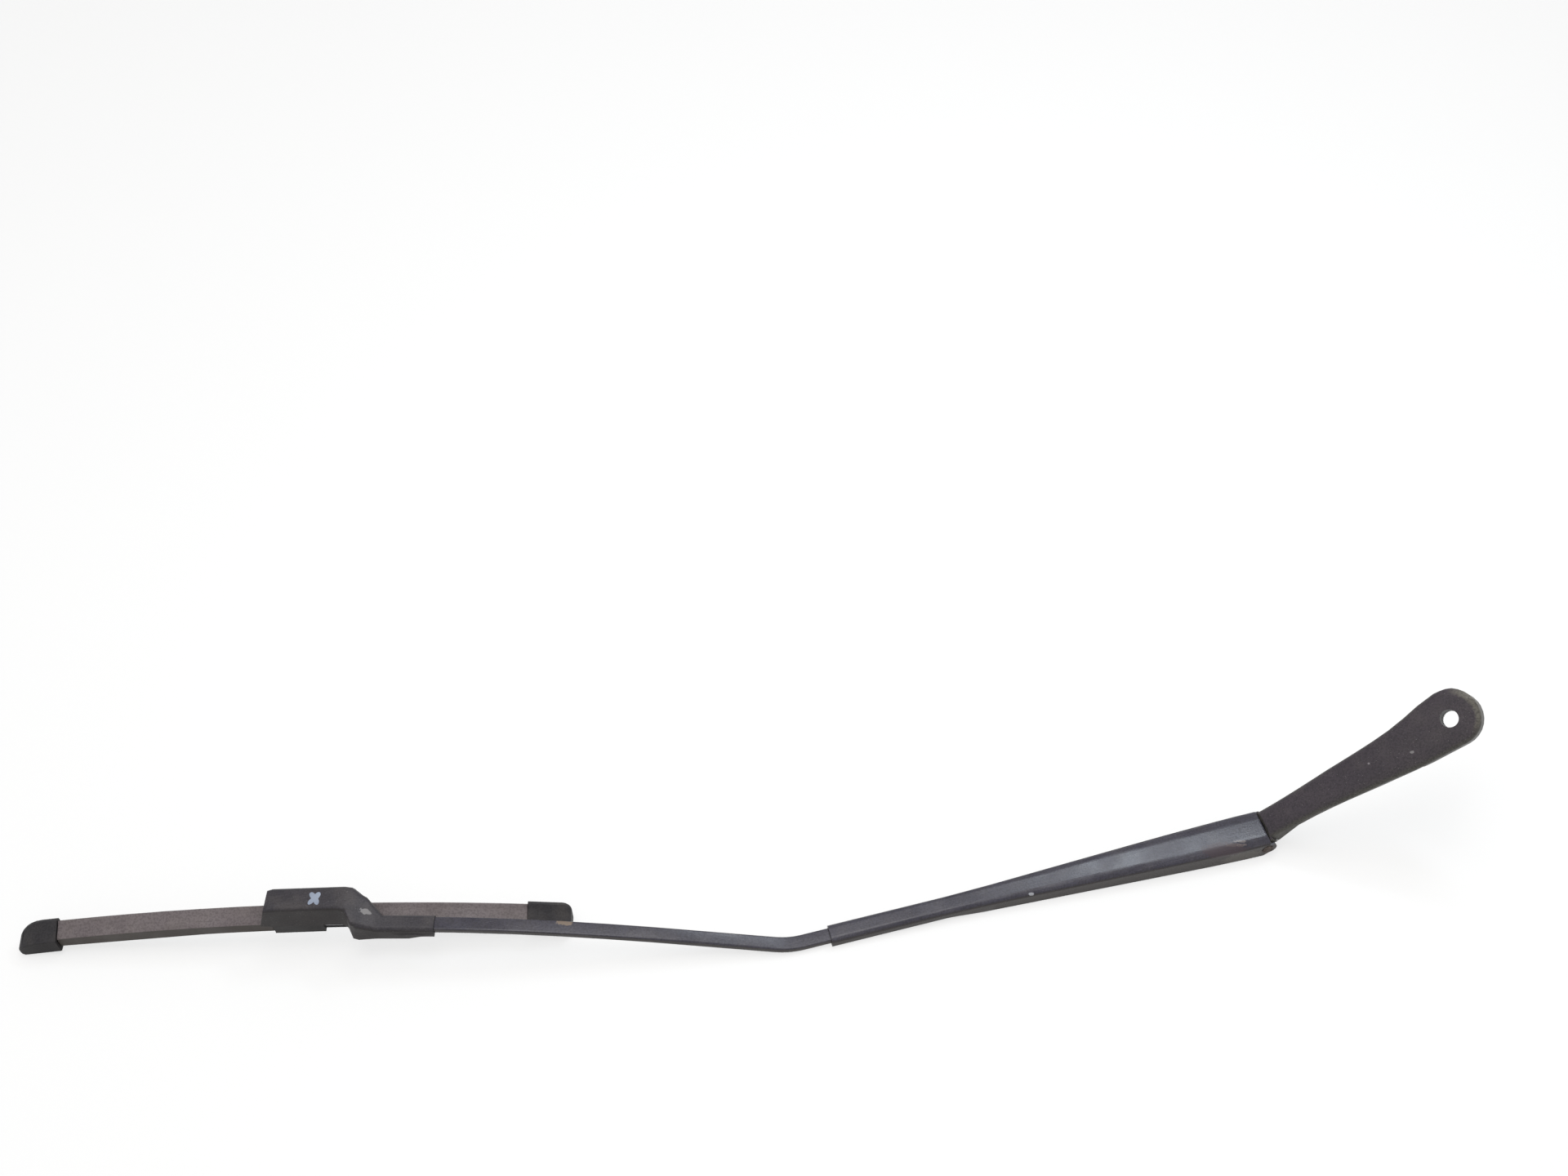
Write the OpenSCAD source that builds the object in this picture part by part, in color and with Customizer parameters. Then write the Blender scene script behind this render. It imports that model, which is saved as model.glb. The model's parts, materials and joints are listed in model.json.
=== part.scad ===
/* [Spindle head] */
// Distance from the hinge pin to the spindle bore
head_reach = 122.4; // [100:0.5:150]
// Width of the neck beside the hinge
neck_w = 17.2; // [15:0.1:18]
// Diameter of the boss round the spindle bore
boss_d = 32.2; // [28:0.1:38]
// Height of the boss along the spindle
boss_h = 13.5; // [11:0.5:16]
// Diameter of the spindle bore
spindle_d = 9.6; // [8:0.1:11]
// Twist of the boss against the hinge, in degrees
head_twist = 17; // [0:1:20]
// Sideways veer of the head along its length, in degrees
head_veer = -1.5; // [-4:0.5:4]
// How far the head stands up from the table, in degrees
head_lift = 40; // [30:1:45]

/* [Hinged channel] */
// Length from the hinge pin to the crimped end
channel_l = 253.3; // [230:0.5:280]
// Outer width at the hinge
hinge_w = 22.4; // [22.2:0.1:24]
// Outer width at the crimped end
crimp_w = 11; // [10.4:0.1:12]
// Depth at the crimped end
crimp_h = 6.7; // [6.7:0.1:8]
// Length of the narrow, parallel stretch
crimp_l = 67; // [50:1:80]
// Thickness of the sheet steel
sheet = 1.3; // [1:0.1:1.3]
// Radius of the hinge pin
hinge_pin_r = 2.5; // [2.2:0.1:2.6]

/* [Rod] */
// Width of the flat rod
rod_w = 8; // [7:0.1:8.2]
// Thickness of the flat rod
rod_t = 4; // [3:0.1:4]
// Sideways bend of the rod, in degrees
rod_bend = 14.4; // [10:0.2:18]
// Height that the bowed stretch climbs towards the blade
rod_rise = 23.2; // [18:0.1:28]

/* [Wiper blade] */
// Overall length of the blade with its end caps
blade_l = 299; // [280:1:320]
// How far the middle of the free blade bows up from the glass
blade_bow = 11.5; // [9:0.5:12]
// Plan angle of the blade against the rod, in degrees
blade_skew = 2.3; // [0:0.1:3]
// Length of an end cap
cap_l = 23; // [20:0.5:28]

/* [Hidden] */
$fn = 64;

// The arm lies on a table at z = 0, glass side down, with the rod's bend near x = 0 before centring.
plate_z = 7;
channel_slope = asin((2 * plate_z - crimp_h - 0.2) / channel_l);
hinge_x = 270.3;
hinge_y = 68.1;
hinge_z = 7;
fold = head_lift - channel_slope;
inner_hinge_w = hinge_w - 2 * sheet;
hub_r = 4.6;
plate_end = 1;

// Bounding box centre, from the outer end cap, the rod's bend and the boss.
blade_x = -265.4;
blade_y = 7.4;
boss_x = hinge_x + head_reach * cos(head_lift) * cos(rod_bend);
boss_y = hinge_y + head_reach * cos(head_lift) * sin(rod_bend) + head_reach * sin(head_veer);
centre_x = (blade_x - blade_l / 2 + boss_x + boss_d / 2 * 0.95) / 2;
centre_y = (-rod_w / 2 + boss_y + boss_d / 2) / 2;

// Rest of the linkage inside the channel, in the side view of the channel with the hinge pin at [0, 0].
link_pin_at = [5.6, -2.6];
link_pin_r = 1.5;
link_end = [-13, 1.7];
link_hole_r = 1.9;
link_t = 2.6;
gap = 0.05;
rod_z = plate_z - sheet - rod_t / 2 - gap;
rod_end_x = -105;
wire_r = 0.9;
// Hook at the rod: the middle of its round, its radius, and the hole that it passes through.
hook_r = 2.1;
anchor_x = rod_end_x - 0.7;
anchor_z = 2.48;
anchor_hole_r = 1.3;
anchor_t = 1.65;
coil_r = 3.6;
coil_z = 1.3;

// Blade, measured up from the lip that touches the glass.
crest_z = 14.6;
rail_z = 8.3;
crease_z = 10.8;
pivot_z = 25;
pivot_r = 2;
hood_top_z = 38.1;
hood_w = 16.4;

// Triangles that fill a ring of points seen along x: corners are cut off one by one.
tiny = 1e-6;
function turn_of(a, b, c) = (b[1] - a[1]) * (c[2] - a[2]) - (b[2] - a[2]) * (c[1] - a[1]);
function within(p, a, b, c) = min(turn_of(a, b, p), turn_of(b, c, p), turn_of(c, a, p)) > -tiny;
function is_ear(ring, left, a, b, c) = turn_of(ring[a], ring[b], ring[c]) > tiny
    && len([for (k = left) if (k != a && k != b && k != c)
        if (within(ring[k], ring[a], ring[b], ring[c])) k]) == 0;
function filled(ring, left) = let (n = len(left)) n < 3 ? [] : let (
    corner = [for (i = [0 : n - 1]) let (a = left[(i + n - 1) % n], b = left[i], c = left[(i + 1) % n])
        if (is_ear(ring, left, a, b, c)) [i, a, b, c]][0],
    rest = [for (i = [0 : n - 1]) if (i != corner[0]) left[i]]
) concat([[corner[1], corner[2], corner[3]]], filled(ring, rest));

// A solid between rings of points, which run from low x to high x and turn from y to z.
module loft(rings) {
    n = len(rings[0]);
    last = (len(rings) - 1) * n;
    all = [for (i = [0 : n - 1]) i];
    starts = [for (k = [0 : n : last - n]) k];
    polyhedron(
        points = [for (r = rings) each r],
        faces = concat(
            filled(rings[0], all),
            [for (t = filled(rings[len(rings) - 1], all)) [last + t[2], last + t[1], last + t[0]]],
            [for (k = starts, i = all) [k + i, k + n + i, k + (i + 1) % n]],
            [for (k = starts, i = all) [k + (i + 1) % n, k + n + i, k + n + (i + 1) % n]]
        )
    );
}

// Points on an arc in a section, from angle a to angle b.
function arc(c, r, a, b, n = 4) = [for (i = [0 : n]) let (t = mix(a, b, i / n)) c + r * [cos(t), sin(t)]];
function mix(a, b, t) = a + (b - a) * t;
function ease(t) = let (u = min(1, max(0, t))) u * u * (3 - 2 * u);
function mirrored(section) = [for (i = [len(section) - 1 : -1 : 0]) [-section[i][0], section[i][1]]];

module in_arm() translate([hinge_x, hinge_y, hinge_z]) rotate([0, -channel_slope, rod_bend]) children();
module in_head() translate([hinge_x, hinge_y, hinge_z]) rotate([0, -head_lift, rod_bend]) children();
module in_blade() translate([blade_x, blade_y, 0]) rotate([0, 0, blade_skew]) children();
module centred() translate([-centre_x, -centre_y, 0]) children();
module across(r, l, fn = 64) rotate([90, 0, 0]) cylinder(r = r, h = l, center = true, $fn = fn);

// Spindle head: a die cast spoon with a crowned face, drafted sides and a boss.
// Half the width of the head at a distance along it.
boss_r = boss_d / 2;
head_shift = 0.7;
function head_half(x, power) =
    x > head_reach ? sqrt(max(0.01, boss_r * boss_r - (x - head_reach) * (x - head_reach)))
    : mix(neck_w / 2, boss_r, pow(ease((x - 22) / (head_reach - 20)), power));
function head_near(x) = head_half(x, 0.88) - head_shift - 0.7 * ease((x - 96) / 14);
function head_far(x) = 0.3 * ease((x - 8) / 26) + 0.6 * ease((x - 26) / 30) - 0.9 * ease((x - 72) / 34)
    + head_half(x, 4.8) + head_shift + ease((x - 125) / 8);
function head_floor(x) = mix(-4.6, plate_z - boss_h, ease((x - 84) / 26))
    + 4.4 * ease((x - 7) / 15) * (1 - ease((x - 44) / 48));

// One section of the head: flat floor, drafted sides, rounded edges and a crowned face.
function head_section(half, floor_z, crown, r) = let (
    side = concat([[half - 0.5, floor_z]], arc([half - r, plate_z - crown - r], r, 0, 80)),
    top = [[half * 0.45, plate_z - crown * 0.2]]
) concat(side, top, mirrored(top), mirrored(side));

function head_ring(x) = let (
    half = (head_near(x) + head_far(x)) / 2,
    shift = (head_far(x) - head_near(x)) / 2,
    turn = head_twist * ease((x - 12) / 80),
    r = min(3, half * 0.42),
    section = head_section(half, head_floor(x), min(1.1, half * 0.1), r)
) [for (p = section) let (y = p[0] + shift, z = p[1] - plate_z)
    [x, y * cos(turn) - z * sin(turn) + x * tan(head_veer), plate_z + y * sin(turn) + z * cos(turn)]];

head_stations = concat(
    [3, 8, 14, 22], [for (x = [32 : 10 : 102]) x], [112, head_reach],
    [for (a = [12 : 12 : 84]) head_reach + boss_r * sin(a)], [head_reach + boss_r * 0.997]
);

// Pockets under the neck, with cross ribs left between them.
pocket_spans = [[19, 40], [42.5, 66], [68.5, 96]];
pocket_wall = 3.4;
module head_pockets() {
    for (span = pocket_spans) {
        xs = [for (i = [0 : 4]) mix(span[0], span[1], i / 4)];
        near = [for (x = xs) [x, x * tan(head_veer) - head_near(x) + pocket_wall]];
        far = [for (i = [4 : -1 : 0]) [xs[i], xs[i] * tan(head_veer) + head_far(xs[i]) - pocket_wall]];
        translate([0, 0, -20]) linear_extrude(20 + plate_z - 4.5 - span[0] / 26) polygon(concat(near, far));
    }
}

// Frame of the boss: the spindle axis is its z axis and its face is at z = 0.
module on_boss()
    translate([head_reach, head_reach * tan(head_veer) + head_shift, plate_z])
        rotate([head_twist, 0, 0]) children();

// Length of the head's hinge barrel, the slot that the spring link swings in, and the bush round the pin.
barrel_l = inner_hinge_w - 1.4;
link_slot = link_t + 1.6;
bush_r = hinge_pin_r + 0.8;

module head() {
    color([0.11, 0.11, 0.12]) difference() {
        union() {
            loft([for (x = head_stations) head_ring(x)]);
            across(hub_r, barrel_l);
            translate([0, -barrel_l / 2, 1 - hub_r]) cube([6.5, barrel_l, 2 * hub_r - 1]);
        }
        head_pockets();
        // Bore for the hinge bushes, and the slot that the spring link swings in.
        across(bush_r, 40);
        translate([-8, -link_slot / 2, -12]) cube([20.5, link_slot, 12 + plate_z - 2]);
        translate([link_pin_at[0], 0, link_pin_at[1]]) across(link_pin_r, 40);
        // Slanted shoulder that stops against the channel's end when the arm is folded up.
        rotate([0, fold, 0]) translate([-20, -20, hub_r - 0.2]) cube([20 + plate_end + 0.3, 40, 12]);
        // Spindle bore with its wide, knurled mouth.
        on_boss() {
            translate([0, 0, -boss_h - 6]) cylinder(d = spindle_d, h = boss_h + 12);
            translate([0, 0, -boss_h - 1]) cylinder(d1 = spindle_d + 1.3, d2 = spindle_d, h = 7.5);
        }
    }
}

// Flanged bushes, one on each side of the link's slot.
module hinge_bushes() {
    lug_l = (barrel_l - link_slot) / 2;
    color([0.85, 0.85, 0.8]) for (s = [-1, 1]) scale([1, s, 1]) difference() {
        union() {
            translate([0, (barrel_l - lug_l) / 2, 0]) across(bush_r, lug_l);
            translate([0, inner_hinge_w / 2 - 0.4, 0]) across(4.1, 0.6);
        }
        across(hinge_pin_r + 0.06, 60);
    }
}

module link_pin()
    color([0.6, 0.6, 0.62]) translate([link_pin_at[0], 0, link_pin_at[1]]) across(link_pin_r, neck_w - 1);

// The hinge pin is headed over on both sides of the channel.
module hinge_pin() {
    color([0.42, 0.3, 0.22]) {
        across(hinge_pin_r, hinge_w + 0.2);
        for (s = [-1, 1]) translate([0, s * (hinge_w / 2 + 0.4), 0]) across(3.3, 0.8);
    }
}

// Channel: pressed from one sheet, its lips curled under the rod at the narrow end.
// Half section of the channel for the side with positive y, outside first and then back along the inside.
function channel_side(w, h, lip, crown) = let (ro = 2.6, rl = 1) concat(
    [[w / 2 - lip, -h]],
    arc([w / 2 - rl, -h + rl], rl, -90, 0, 2),
    arc([w / 2 - ro, -crown - ro], ro, 0, 80, 4),
    [[w * 0.2, -crown * 0.16]]
);
function channel_inside(w, h, lip, crown) = let (ro = 2.6, ri = ro - sheet) concat(
    [[w * 0.2, -crown * 0.16 - sheet]],
    arc([w / 2 - ro, -crown - ro], ri, 80, 0, 3),
    [[w / 2 - sheet, -h + sheet], [w / 2 - lip, -h + sheet]]
);
function channel_section(w, h, lip, crown) = concat(
    channel_side(w, h, lip, crown), mirrored(channel_side(w, h, lip, crown)),
    mirrored(channel_inside(w, h, lip, crown)), channel_inside(w, h, lip, crown)
);
function channel_ring(x) = let (
    t = (channel_l + x - crimp_l) / (channel_l - crimp_l - 12),
    w = mix(crimp_w, hinge_w, mix(min(1, max(0, t)), ease(t), 0.55)),
    depth = mix(crimp_h, 2 * plate_z, (channel_l + x) / channel_l),
    h = mix(crimp_h, depth, ease((t + 0.02) / 0.14)),
    lip = mix(3.6, sheet + 0.3, ease((t + 0.12) / 0.2)),
    section = channel_section(w, h, lip, 0.5 * ease((t - 0.4) / 0.6))
) [for (p = section) [x, p[0], p[1] + plate_z]];
channel_stations = concat(
    [-channel_l, -channel_l + 30, -channel_l + 50], [for (i = [0 : 5]) -channel_l + crimp_l - 8 + i * 7],
    [for (i = [1 : 7]) mix(-channel_l + crimp_l + 27, -12, i / 7)], [0, 7.2]
);

module channel() {
    color([0.09, 0.095, 0.11]) difference() {
        loft([for (x = channel_stations) channel_ring(x)]);
        // Ears: rounded about the pin, with the plate cut back between them.
        rotate([90, 0, 0]) linear_extrude(60, center = true) polygon(concat(
            [[-3.6, -7.8], [-3.6, -20], [20, -20], [20, 20], [2.4, 20]], arc([0.9, 0.5], 4.5, 65, -80, 12)
        ));
        translate([plate_end, -20, 4.2]) cube([20, 40, 12]);
        across(hinge_pin_r, 60);
    }
}

// Rod: a flat bar that runs from the channel through a sideways bend and bows up to the blade.
rod_in = channel_l + rod_end_x;
rod_bow = 188;
// Heading and slope of the rod at a distance from the crimped end of the channel, in degrees.
bend_at = 23;
bend_l = 11;
function rod_heading(s) = rod_bend * (1 - ease((s - bend_at + bend_l) / (2 * bend_l)));
bow_slope = atan(rod_rise / (rod_bow * 2 / 3 + 6));
function rod_slope(s) = mix(-channel_slope, bow_slope, ease((s - bend_at + bend_l) / (2 * bend_l)))
    * (s < bend_at + bend_l ? 1 : max(0, 1 - pow((s - bend_at - bend_l) / rod_bow, 2)));
function pointing(heading, slope) = [-cos(slope) * cos(heading), -cos(slope) * sin(heading), sin(slope)];
rod_s = concat([for (s = [0 : 2.2 : 46.2]) s], [for (s = [50 : 12 : 230]) s], [245]);
// Points of the rod's centre line, summed step by step from the channel's crimped end.
crimp_at = [hinge_x, hinge_y, hinge_z] + channel_l * pointing(rod_bend, -channel_slope) + rod_z * [
    -sin(channel_slope) * cos(rod_bend), -sin(channel_slope) * sin(rod_bend), cos(channel_slope)];
function rod_step(i) = i + 1 >= len(rod_s) ? [0, 0, 0] : let (s = (rod_s[i] + rod_s[i + 1]) / 2)
    (rod_s[i + 1] - rod_s[i]) * pointing(rod_heading(s), rod_slope(s));
rod_path = [for (i = 0, p = crimp_at; i < len(rod_s); p = p + rod_step(i), i = i + 1) p];
rod_tip = rod_path[len(rod_path) - 1];
// The station from which the bracket's sleeve is bored for the rod.
sleeve_station = len(rod_s) - 7;

function rod_section(w, t) = let (r = 1.1) concat(
    arc([w / 2 - r, t / 2 - r], r, 0, 90, 3), arc([-w / 2 + r, t / 2 - r], r, 90, 180, 3),
    arc([-w / 2 + r, -t / 2 + r], r, 180, 270, 3), arc([w / 2 - r, -t / 2 + r], r, 270, 360, 3)
);
function rod_ring(p, heading, slope, room = 0) = let (
    side = [-sin(heading), cos(heading), 0],
    up = [sin(slope) * cos(heading), sin(slope) * sin(heading), cos(slope)]
) [for (q = rod_section(rod_w + room, rod_t + room)) p + side * q[0] + up * q[1]];
// Rings from the tip back to station number first, drawn larger by the room left round the rod.
function rod_rings(first, room) = [for (i = [len(rod_s) - 1 : -1 : first])
    rod_ring(rod_path[i], rod_heading(rod_s[i]), rod_slope(rod_s[i]), room)];

module rod() {
    inner_end = crimp_at - rod_in * pointing(rod_bend, -channel_slope);
    color([0.09, 0.095, 0.11]) difference() {
        loft(concat(rod_rings(0, 0), [rod_ring(inner_end, rod_bend, -channel_slope)]));
        // End stepped down to a thin tongue, with the hole for the hook of the spring.
        in_arm() {
            translate([rod_end_x - 5, -rod_w, rod_z - rod_t / 2 + anchor_t]) cube([12, 2 * rod_w, rod_t]);
            translate([anchor_x - hook_r + 0.1, 0, 0]) cylinder(r = anchor_hole_r, h = 12);
        }
    }
}

// Tension spring: close wound, hooked in the rod's end and round the eye of the link.
coil_turns = 44;
coil_x0 = rod_end_x + 4;
coil_x1 = coil_x0 + coil_turns * 2 * wire_r;
function coil_outline() = concat(
    [for (i = [0 : coil_turns - 1], a = [30, 90, 150])
        [coil_r - wire_r * (1 - sin(a)), coil_x0 + wire_r * (2 * i + 1 - cos(a))]],
    [[coil_r - 2 * wire_r, coil_x1 - 0.3], [coil_r - 2 * wire_r, coil_x0 + 0.3]]
);
module wire(l) rotate([0, 90, 0]) cylinder(r = wire_r, h = l, $fn = 32);
// Hook of wire, open where a wedge is left out.
module hook(r) difference() {
    rotate([90, 0, 0]) rotate_extrude($fn = 48) translate([r, 0]) circle(r = wire_r, $fn = 24);
    translate([0.3, -5, 0.4]) rotate([0, -12, 0]) cube([r + 3, 10, r + 3]);
}
module tension_spring() {
    eye_r = 3.6;
    eye_x = link_end[0] - 0.4 - eye_r;
    color([0.35, 0.35, 0.36]) {
        translate([0, 0, coil_z]) rotate([0, 90, 0]) rotate_extrude($fn = 24) polygon(coil_outline());
        // Last turns, which bend in to the hooks.
        for (x = [coil_x0 - 0.6, coil_x1 - 1])
            translate([x, 0, coil_z]) rotate([0, 90, 0]) cylinder(r = coil_r - 1.1, h = 1.6);
        // Hook through the tongue of the rod, its free end open towards the coil.
        translate([anchor_x, 0, anchor_z]) hook(hook_r);
        translate([anchor_x + hook_r, 0, coil_z]) wire(coil_x0 - anchor_x - hook_r);
        // Hook round the eye of the link.
        translate([eye_x, 0, link_end[1]]) rotate_extrude($fn = 48)
            translate([eye_r, 0]) circle(r = wire_r, $fn = 24);
        translate([coil_x1, 0, link_end[1]]) wire(eye_x - eye_r - coil_x1);
    }
}

// Link: a C shaped plate that reaches under the hinge pin.
module spring_link() {
    pin_r = norm(link_pin_at);
    pin_a = atan2(link_pin_at[1], link_pin_at[0]) + fold;
    pin = pin_r * [cos(pin_a), sin(pin_a)];
    color([0.3, 0.3, 0.31]) difference() {
        union() {
            rotate([90, 0, 0]) linear_extrude(link_t, center = true) polygon(concat(
                arc([0, 0], 5.4, 24, -150, 20),
                [[-5.9, -1.8], link_end + [-0.4, -3], link_end + [0.2, 3], [-8.8, 3.6], [-4.6, 0.6]],
                arc([0, 0], 3.3, -175, 20, 16)
            ));
            translate([pin[0], 0, pin[1]]) across(2.9, link_t);
            translate([link_end[0], 0, link_end[1]]) across(3.2, link_t);
        }
        translate([pin[0], 0, pin[1]]) across(link_pin_r + 0.06, 20);
        translate([link_end[0], 0, link_end[1]]) across(link_hole_r, 20);
    }
}

// Blade bracket: one pressing with a hood over the blade, a jog and a sleeve crimped round the rod.
sleeve_z = rod_tip[2] + rod_t / 2 + 1.2;
hood_bottom = 21.6;
// Centre line of the hood in plan.
function hood_y(x) = blade_y + 1.3 + (x - blade_x) * tan(blade_skew);
// Stations along the bracket: x of the near and the far edge, near edge, far edge, top, bottom on each side.
nose_x = -275.4;
function hood_row(x, half, top, low) = [x, x, hood_y(x) - half, hood_y(x) + half, top, low, hood_bottom];
bracket_rows = [
    hood_row(nose_x - 9, hood_w / 2, hood_top_z - 1, hood_bottom + 1),
    hood_row(nose_x, hood_w / 2 - 0.4, hood_top_z - 1, hood_bottom + 1),
    hood_row(nose_x + 2.5, hood_w / 2, hood_top_z, hood_bottom + 1),
    hood_row(-240, hood_w / 2, hood_top_z, hood_bottom + 1.6),
    [-237.4, -234.6, hood_y(-236) - hood_w / 2, hood_y(-236) + hood_w / 2,
        hood_top_z, hood_bottom + 1.8, hood_bottom],
    [-233, -230.4, hood_y(-232) - hood_w / 2 - 1.6, hood_y(-232) + hood_w / 2 - 0.6,
        hood_top_z - 0.3, 22, 32.4],
    [-229.6, -225.6, rod_tip[1] - 5.2, 14.3, hood_top_z - 1.9, 21, 31],
    [-226.6, -222.6, rod_tip[1] - 5.9, 12.3, hood_top_z - 3.1, 20.8, 30.4],
    [-217, -214, rod_tip[1] - 5.3, rod_tip[1] + 4.9, sleeve_z + 0.2, 21, 25.5],
    [-200, -198, rod_tip[1] - 5.3, rod_tip[1] + 4.85, sleeve_z + 0.1, 21.1, 23.6],
    [-193, -192, rod_tip[1] - 5.3, rod_tip[1] + 4.85, sleeve_z, sleeve_z - 6.6, sleeve_z - 6.6],
    [-186, -186, rod_tip[1] - 5.3, rod_tip[1] + 4.85, sleeve_z, sleeve_z - 6.6, sleeve_z - 6.6]
];
// Pressed section of a row, open or closed below, whose sides draw in by k for each unit of height.
function pressed(row, o, drop, k, lean) = let (
    near = row[2] + o, far = row[3] - o, top = row[4] - o, r = 2.6 - o, rise = top - r - hood_bottom,
    section = concat(
        [[far + k * drop, row[6] - drop]], arc([far - k * rise - r, top - r], r, 0, 90, 4),
        arc([near + k * rise + r, top - r], r, 90, 180, 4), [[near - k * drop, row[5] - drop]]
    )
) [for (p = section)
    [mix(row[0], row[1], (p[0] - near) / (far - near)) + lean * (p[1] - hood_top_z), p[0], p[1]]];
module bracket_solid(o, drop, first, last)
    loft([for (i = [first : last]) pressed(bracket_rows[i], o, drop, i < 7 ? 0.09 : 0.03, i < 2 ? 0.3 : 0)]);
module blade_bracket() {
    room = 0.16;
    color([0.08, 0.08, 0.085]) difference() {
        bracket_solid(0, 0, 1, 11);
        bracket_solid(sheet, 8, 0, 8);
        // Passage of the rod, and the seam between the two lips below it.
        loft(rod_rings(sleeve_station, room));
        translate([-222, rod_tip[1] - 1.5, 10]) cube([42, 3, rod_tip[2] - 10]);
    }
}

// Adaptor: moulded block that fills the hood and clips on the pivot pin.
base_half = 13.5;
pivot_x = 4.5;
module in_pivot() in_blade() translate([pivot_x, 0, pivot_z]) children();
module adaptor() {
    top = hood_top_z - sheet - pivot_z - 0.3;
    color([0.13, 0.13, 0.13]) difference() {
        union() {
            translate([-12, -3.8, 4.8]) cube([24, 9.6, top - 4.8]);
            translate([-10, -3.1, 3]) cube([20, 6.2, 3]);
            across(3.9, 6.2);
            translate([-3.9, -3.1, 0]) cube([7.8, 6.2, 4]);
        }
        across(pivot_r + 0.06, 40);
        // Snap mouth of the pin clip and the slots that free its locking tongue.
        translate([-1.5, -6, -8]) cube([3, 12, 8]);
        for (y = [-2.2, 2.8]) translate([5.6, y, 2]) cube([20, 0.8, 20]);
        translate([7, -1.8, 2]) cube([4, 4.4, 6]);
    }
}

module pivot_pin() color([0.55, 0.55, 0.56]) across(pivot_r, 9.8);

// Blade base: a riveted cradle over the spines, its cheeks rising to the pivot pin.
module blade_base() {
    wall = 1.4;
    skirt_w = 5.5;
    cheek_w = 4.8;
    color([0.16, 0.16, 0.165]) difference() {
        union() {
            translate([-base_half, -skirt_w, -11.8]) cube([2 * base_half, 2 * skirt_w, 7.6]);
            rotate([90, 0, 0]) linear_extrude(2 * cheek_w, center = true) polygon(concat(
                [[-9.5, -6], [9.5, -6], [9.5, -3.8], [6.5, -2.4]],
                arc([0, 0], 3.6, 15, 165, 10),
                [[-6.5, -2.4], [-9.5, -3.8]]
            ));
        }
        // Space between the cheeks, tunnel for the spines and room for the rubber below.
        translate([-30, wall - cheek_w, -4.6]) cube([60, 2 * (cheek_w - wall), 20]);
        translate([-30, -4.6, -7.75]) cube([60, 9.2, 1.6]);
        translate([-30, -2.9, -20]) cube([60, 5.8, 14.6]);
        // Slanted ends of the skirt.
        for (e = [-1, 1]) translate([e * base_half, 0, -12]) rotate([0, e * 18, 0])
            translate([e > 0 ? 0 : -9, -9, -9]) cube([9, 18, 16]);
        across(pivot_r, 40);
    }
}

// Blade: everything follows the bow of the spines.
blade_steps = 24;
function bow(x) = blade_bow * (1 - pow(x / (blade_l / 2 - 1.6), 2));
function along(x0, x1, n) = [for (i = [0 : n]) mix(x0, x1, i / n)];
module bowed(section, x0, x1, n)
    loft([for (x = along(x0, x1, n)) [for (p = section) [x, p[0], p[1] + bow(x)]]]);

spine_z = 6.2;
spine_t = 0.9;
module spine(side) color([0.42, 0.42, 0.43])
    bowed([for (p = [[1.55, -1], [1.55, 1], [-1.55, 1], [-1.55, -1]])
        [side * 2.85 + p[0], spine_z + spine_t / 2 * (1 + p[1])]],
          -blade_l / 2 + 2.5, blade_l / 2 - 2.5, blade_steps);

// Rubber element: lip, hinged neck, shoulders and the head that the spines slide into.
rubber_far = [
    [-2.2, 0], [-1.7, 0], [0.3, 2.7], [0.9, 3], [2.6, 3.3], [2.6, 4.1], [0.7, 4.5], [0.7, 5], [2.7, 5.3],
    [2.7, spine_z - 0.1], [1.2, spine_z - 0.1], [1.2, spine_z + spine_t + 0.1],
    [2.6, spine_z + spine_t + 0.1], [2.4, rail_z - 0.3]
];
rubber_near = [for (i = [len(rubber_far) - 1 : -1 : 4]) [-rubber_far[i][0], rubber_far[i][1]]];
module wiper_rubber() color([0.07, 0.07, 0.07])
    bowed(concat(rubber_far, rubber_near, [[-0.9, 3], [-0.6, 2.5]]),
          -blade_l / 2 + 1.6, blade_l / 2 - 1.6, blade_steps);

// Spoiler: the ridge stands over the far edge, above a hollow face; claws grip the spines.
function spoiler_section() = concat(
    [[3.9, 3.6], [5, 3.4], [5.3, 4.2], [5.3, rail_z], [5, 10.8]],
    [[4.6, crest_z - 0.5], [4.2, crest_z], [3.6, crest_z - 0.1]],
    [for (i = [1 : 7]) let (u = i / 8) [mix(3.6, -4.8, u), mix(crest_z - 0.1, crease_z, pow(u, 0.8))]],
    [[-4.9, crease_z - 0.5], [-4.9, 3.6], [-4.7, 2.8], [-3.7, 3], [-3.7, 5.9], [-4.5, 6.05]],
    [[-4.5, 7.3], [-2.8, 7.3], [-2.5, 8.1], [-1.8, 9], [2.9, 12.6], [3.7, 12.4], [4.1, 9.2]],
    [[2.5, 8.1], [2.8, 7.3], [4.6, 7.3], [4.6, 6.05], [3.9, 5.9]]
);
module spoiler(x0, x1) color([0.2, 0.19, 0.18]) bowed(spoiler_section(), x0, x1, 12);
module spoiler_outer() spoiler(-blade_l / 2 + cap_l + 0.3, pivot_x - base_half - 0.5);
module spoiler_inner() spoiler(30, blade_l / 2 - cap_l - 0.3);

// Clips that hold the two spines together inside the end caps.
clip_section = [[3, 5.2], [4.95, 5.2], [4.95, 8.8], [-4.95, 8.8], [-4.95, 5.2], [-3, 5.2],
                [-3, 5.8], [-4.45, 5.8], [-4.45, 8.3], [4.45, 8.3], [4.45, 5.8], [3, 5.8]];
module rail_clips() color([0.5, 0.5, 0.5])
    for (x = [11 - blade_l / 2, blade_l / 2 - 11]) bowed(clip_section, x - 3, x + 3, 2);

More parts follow.
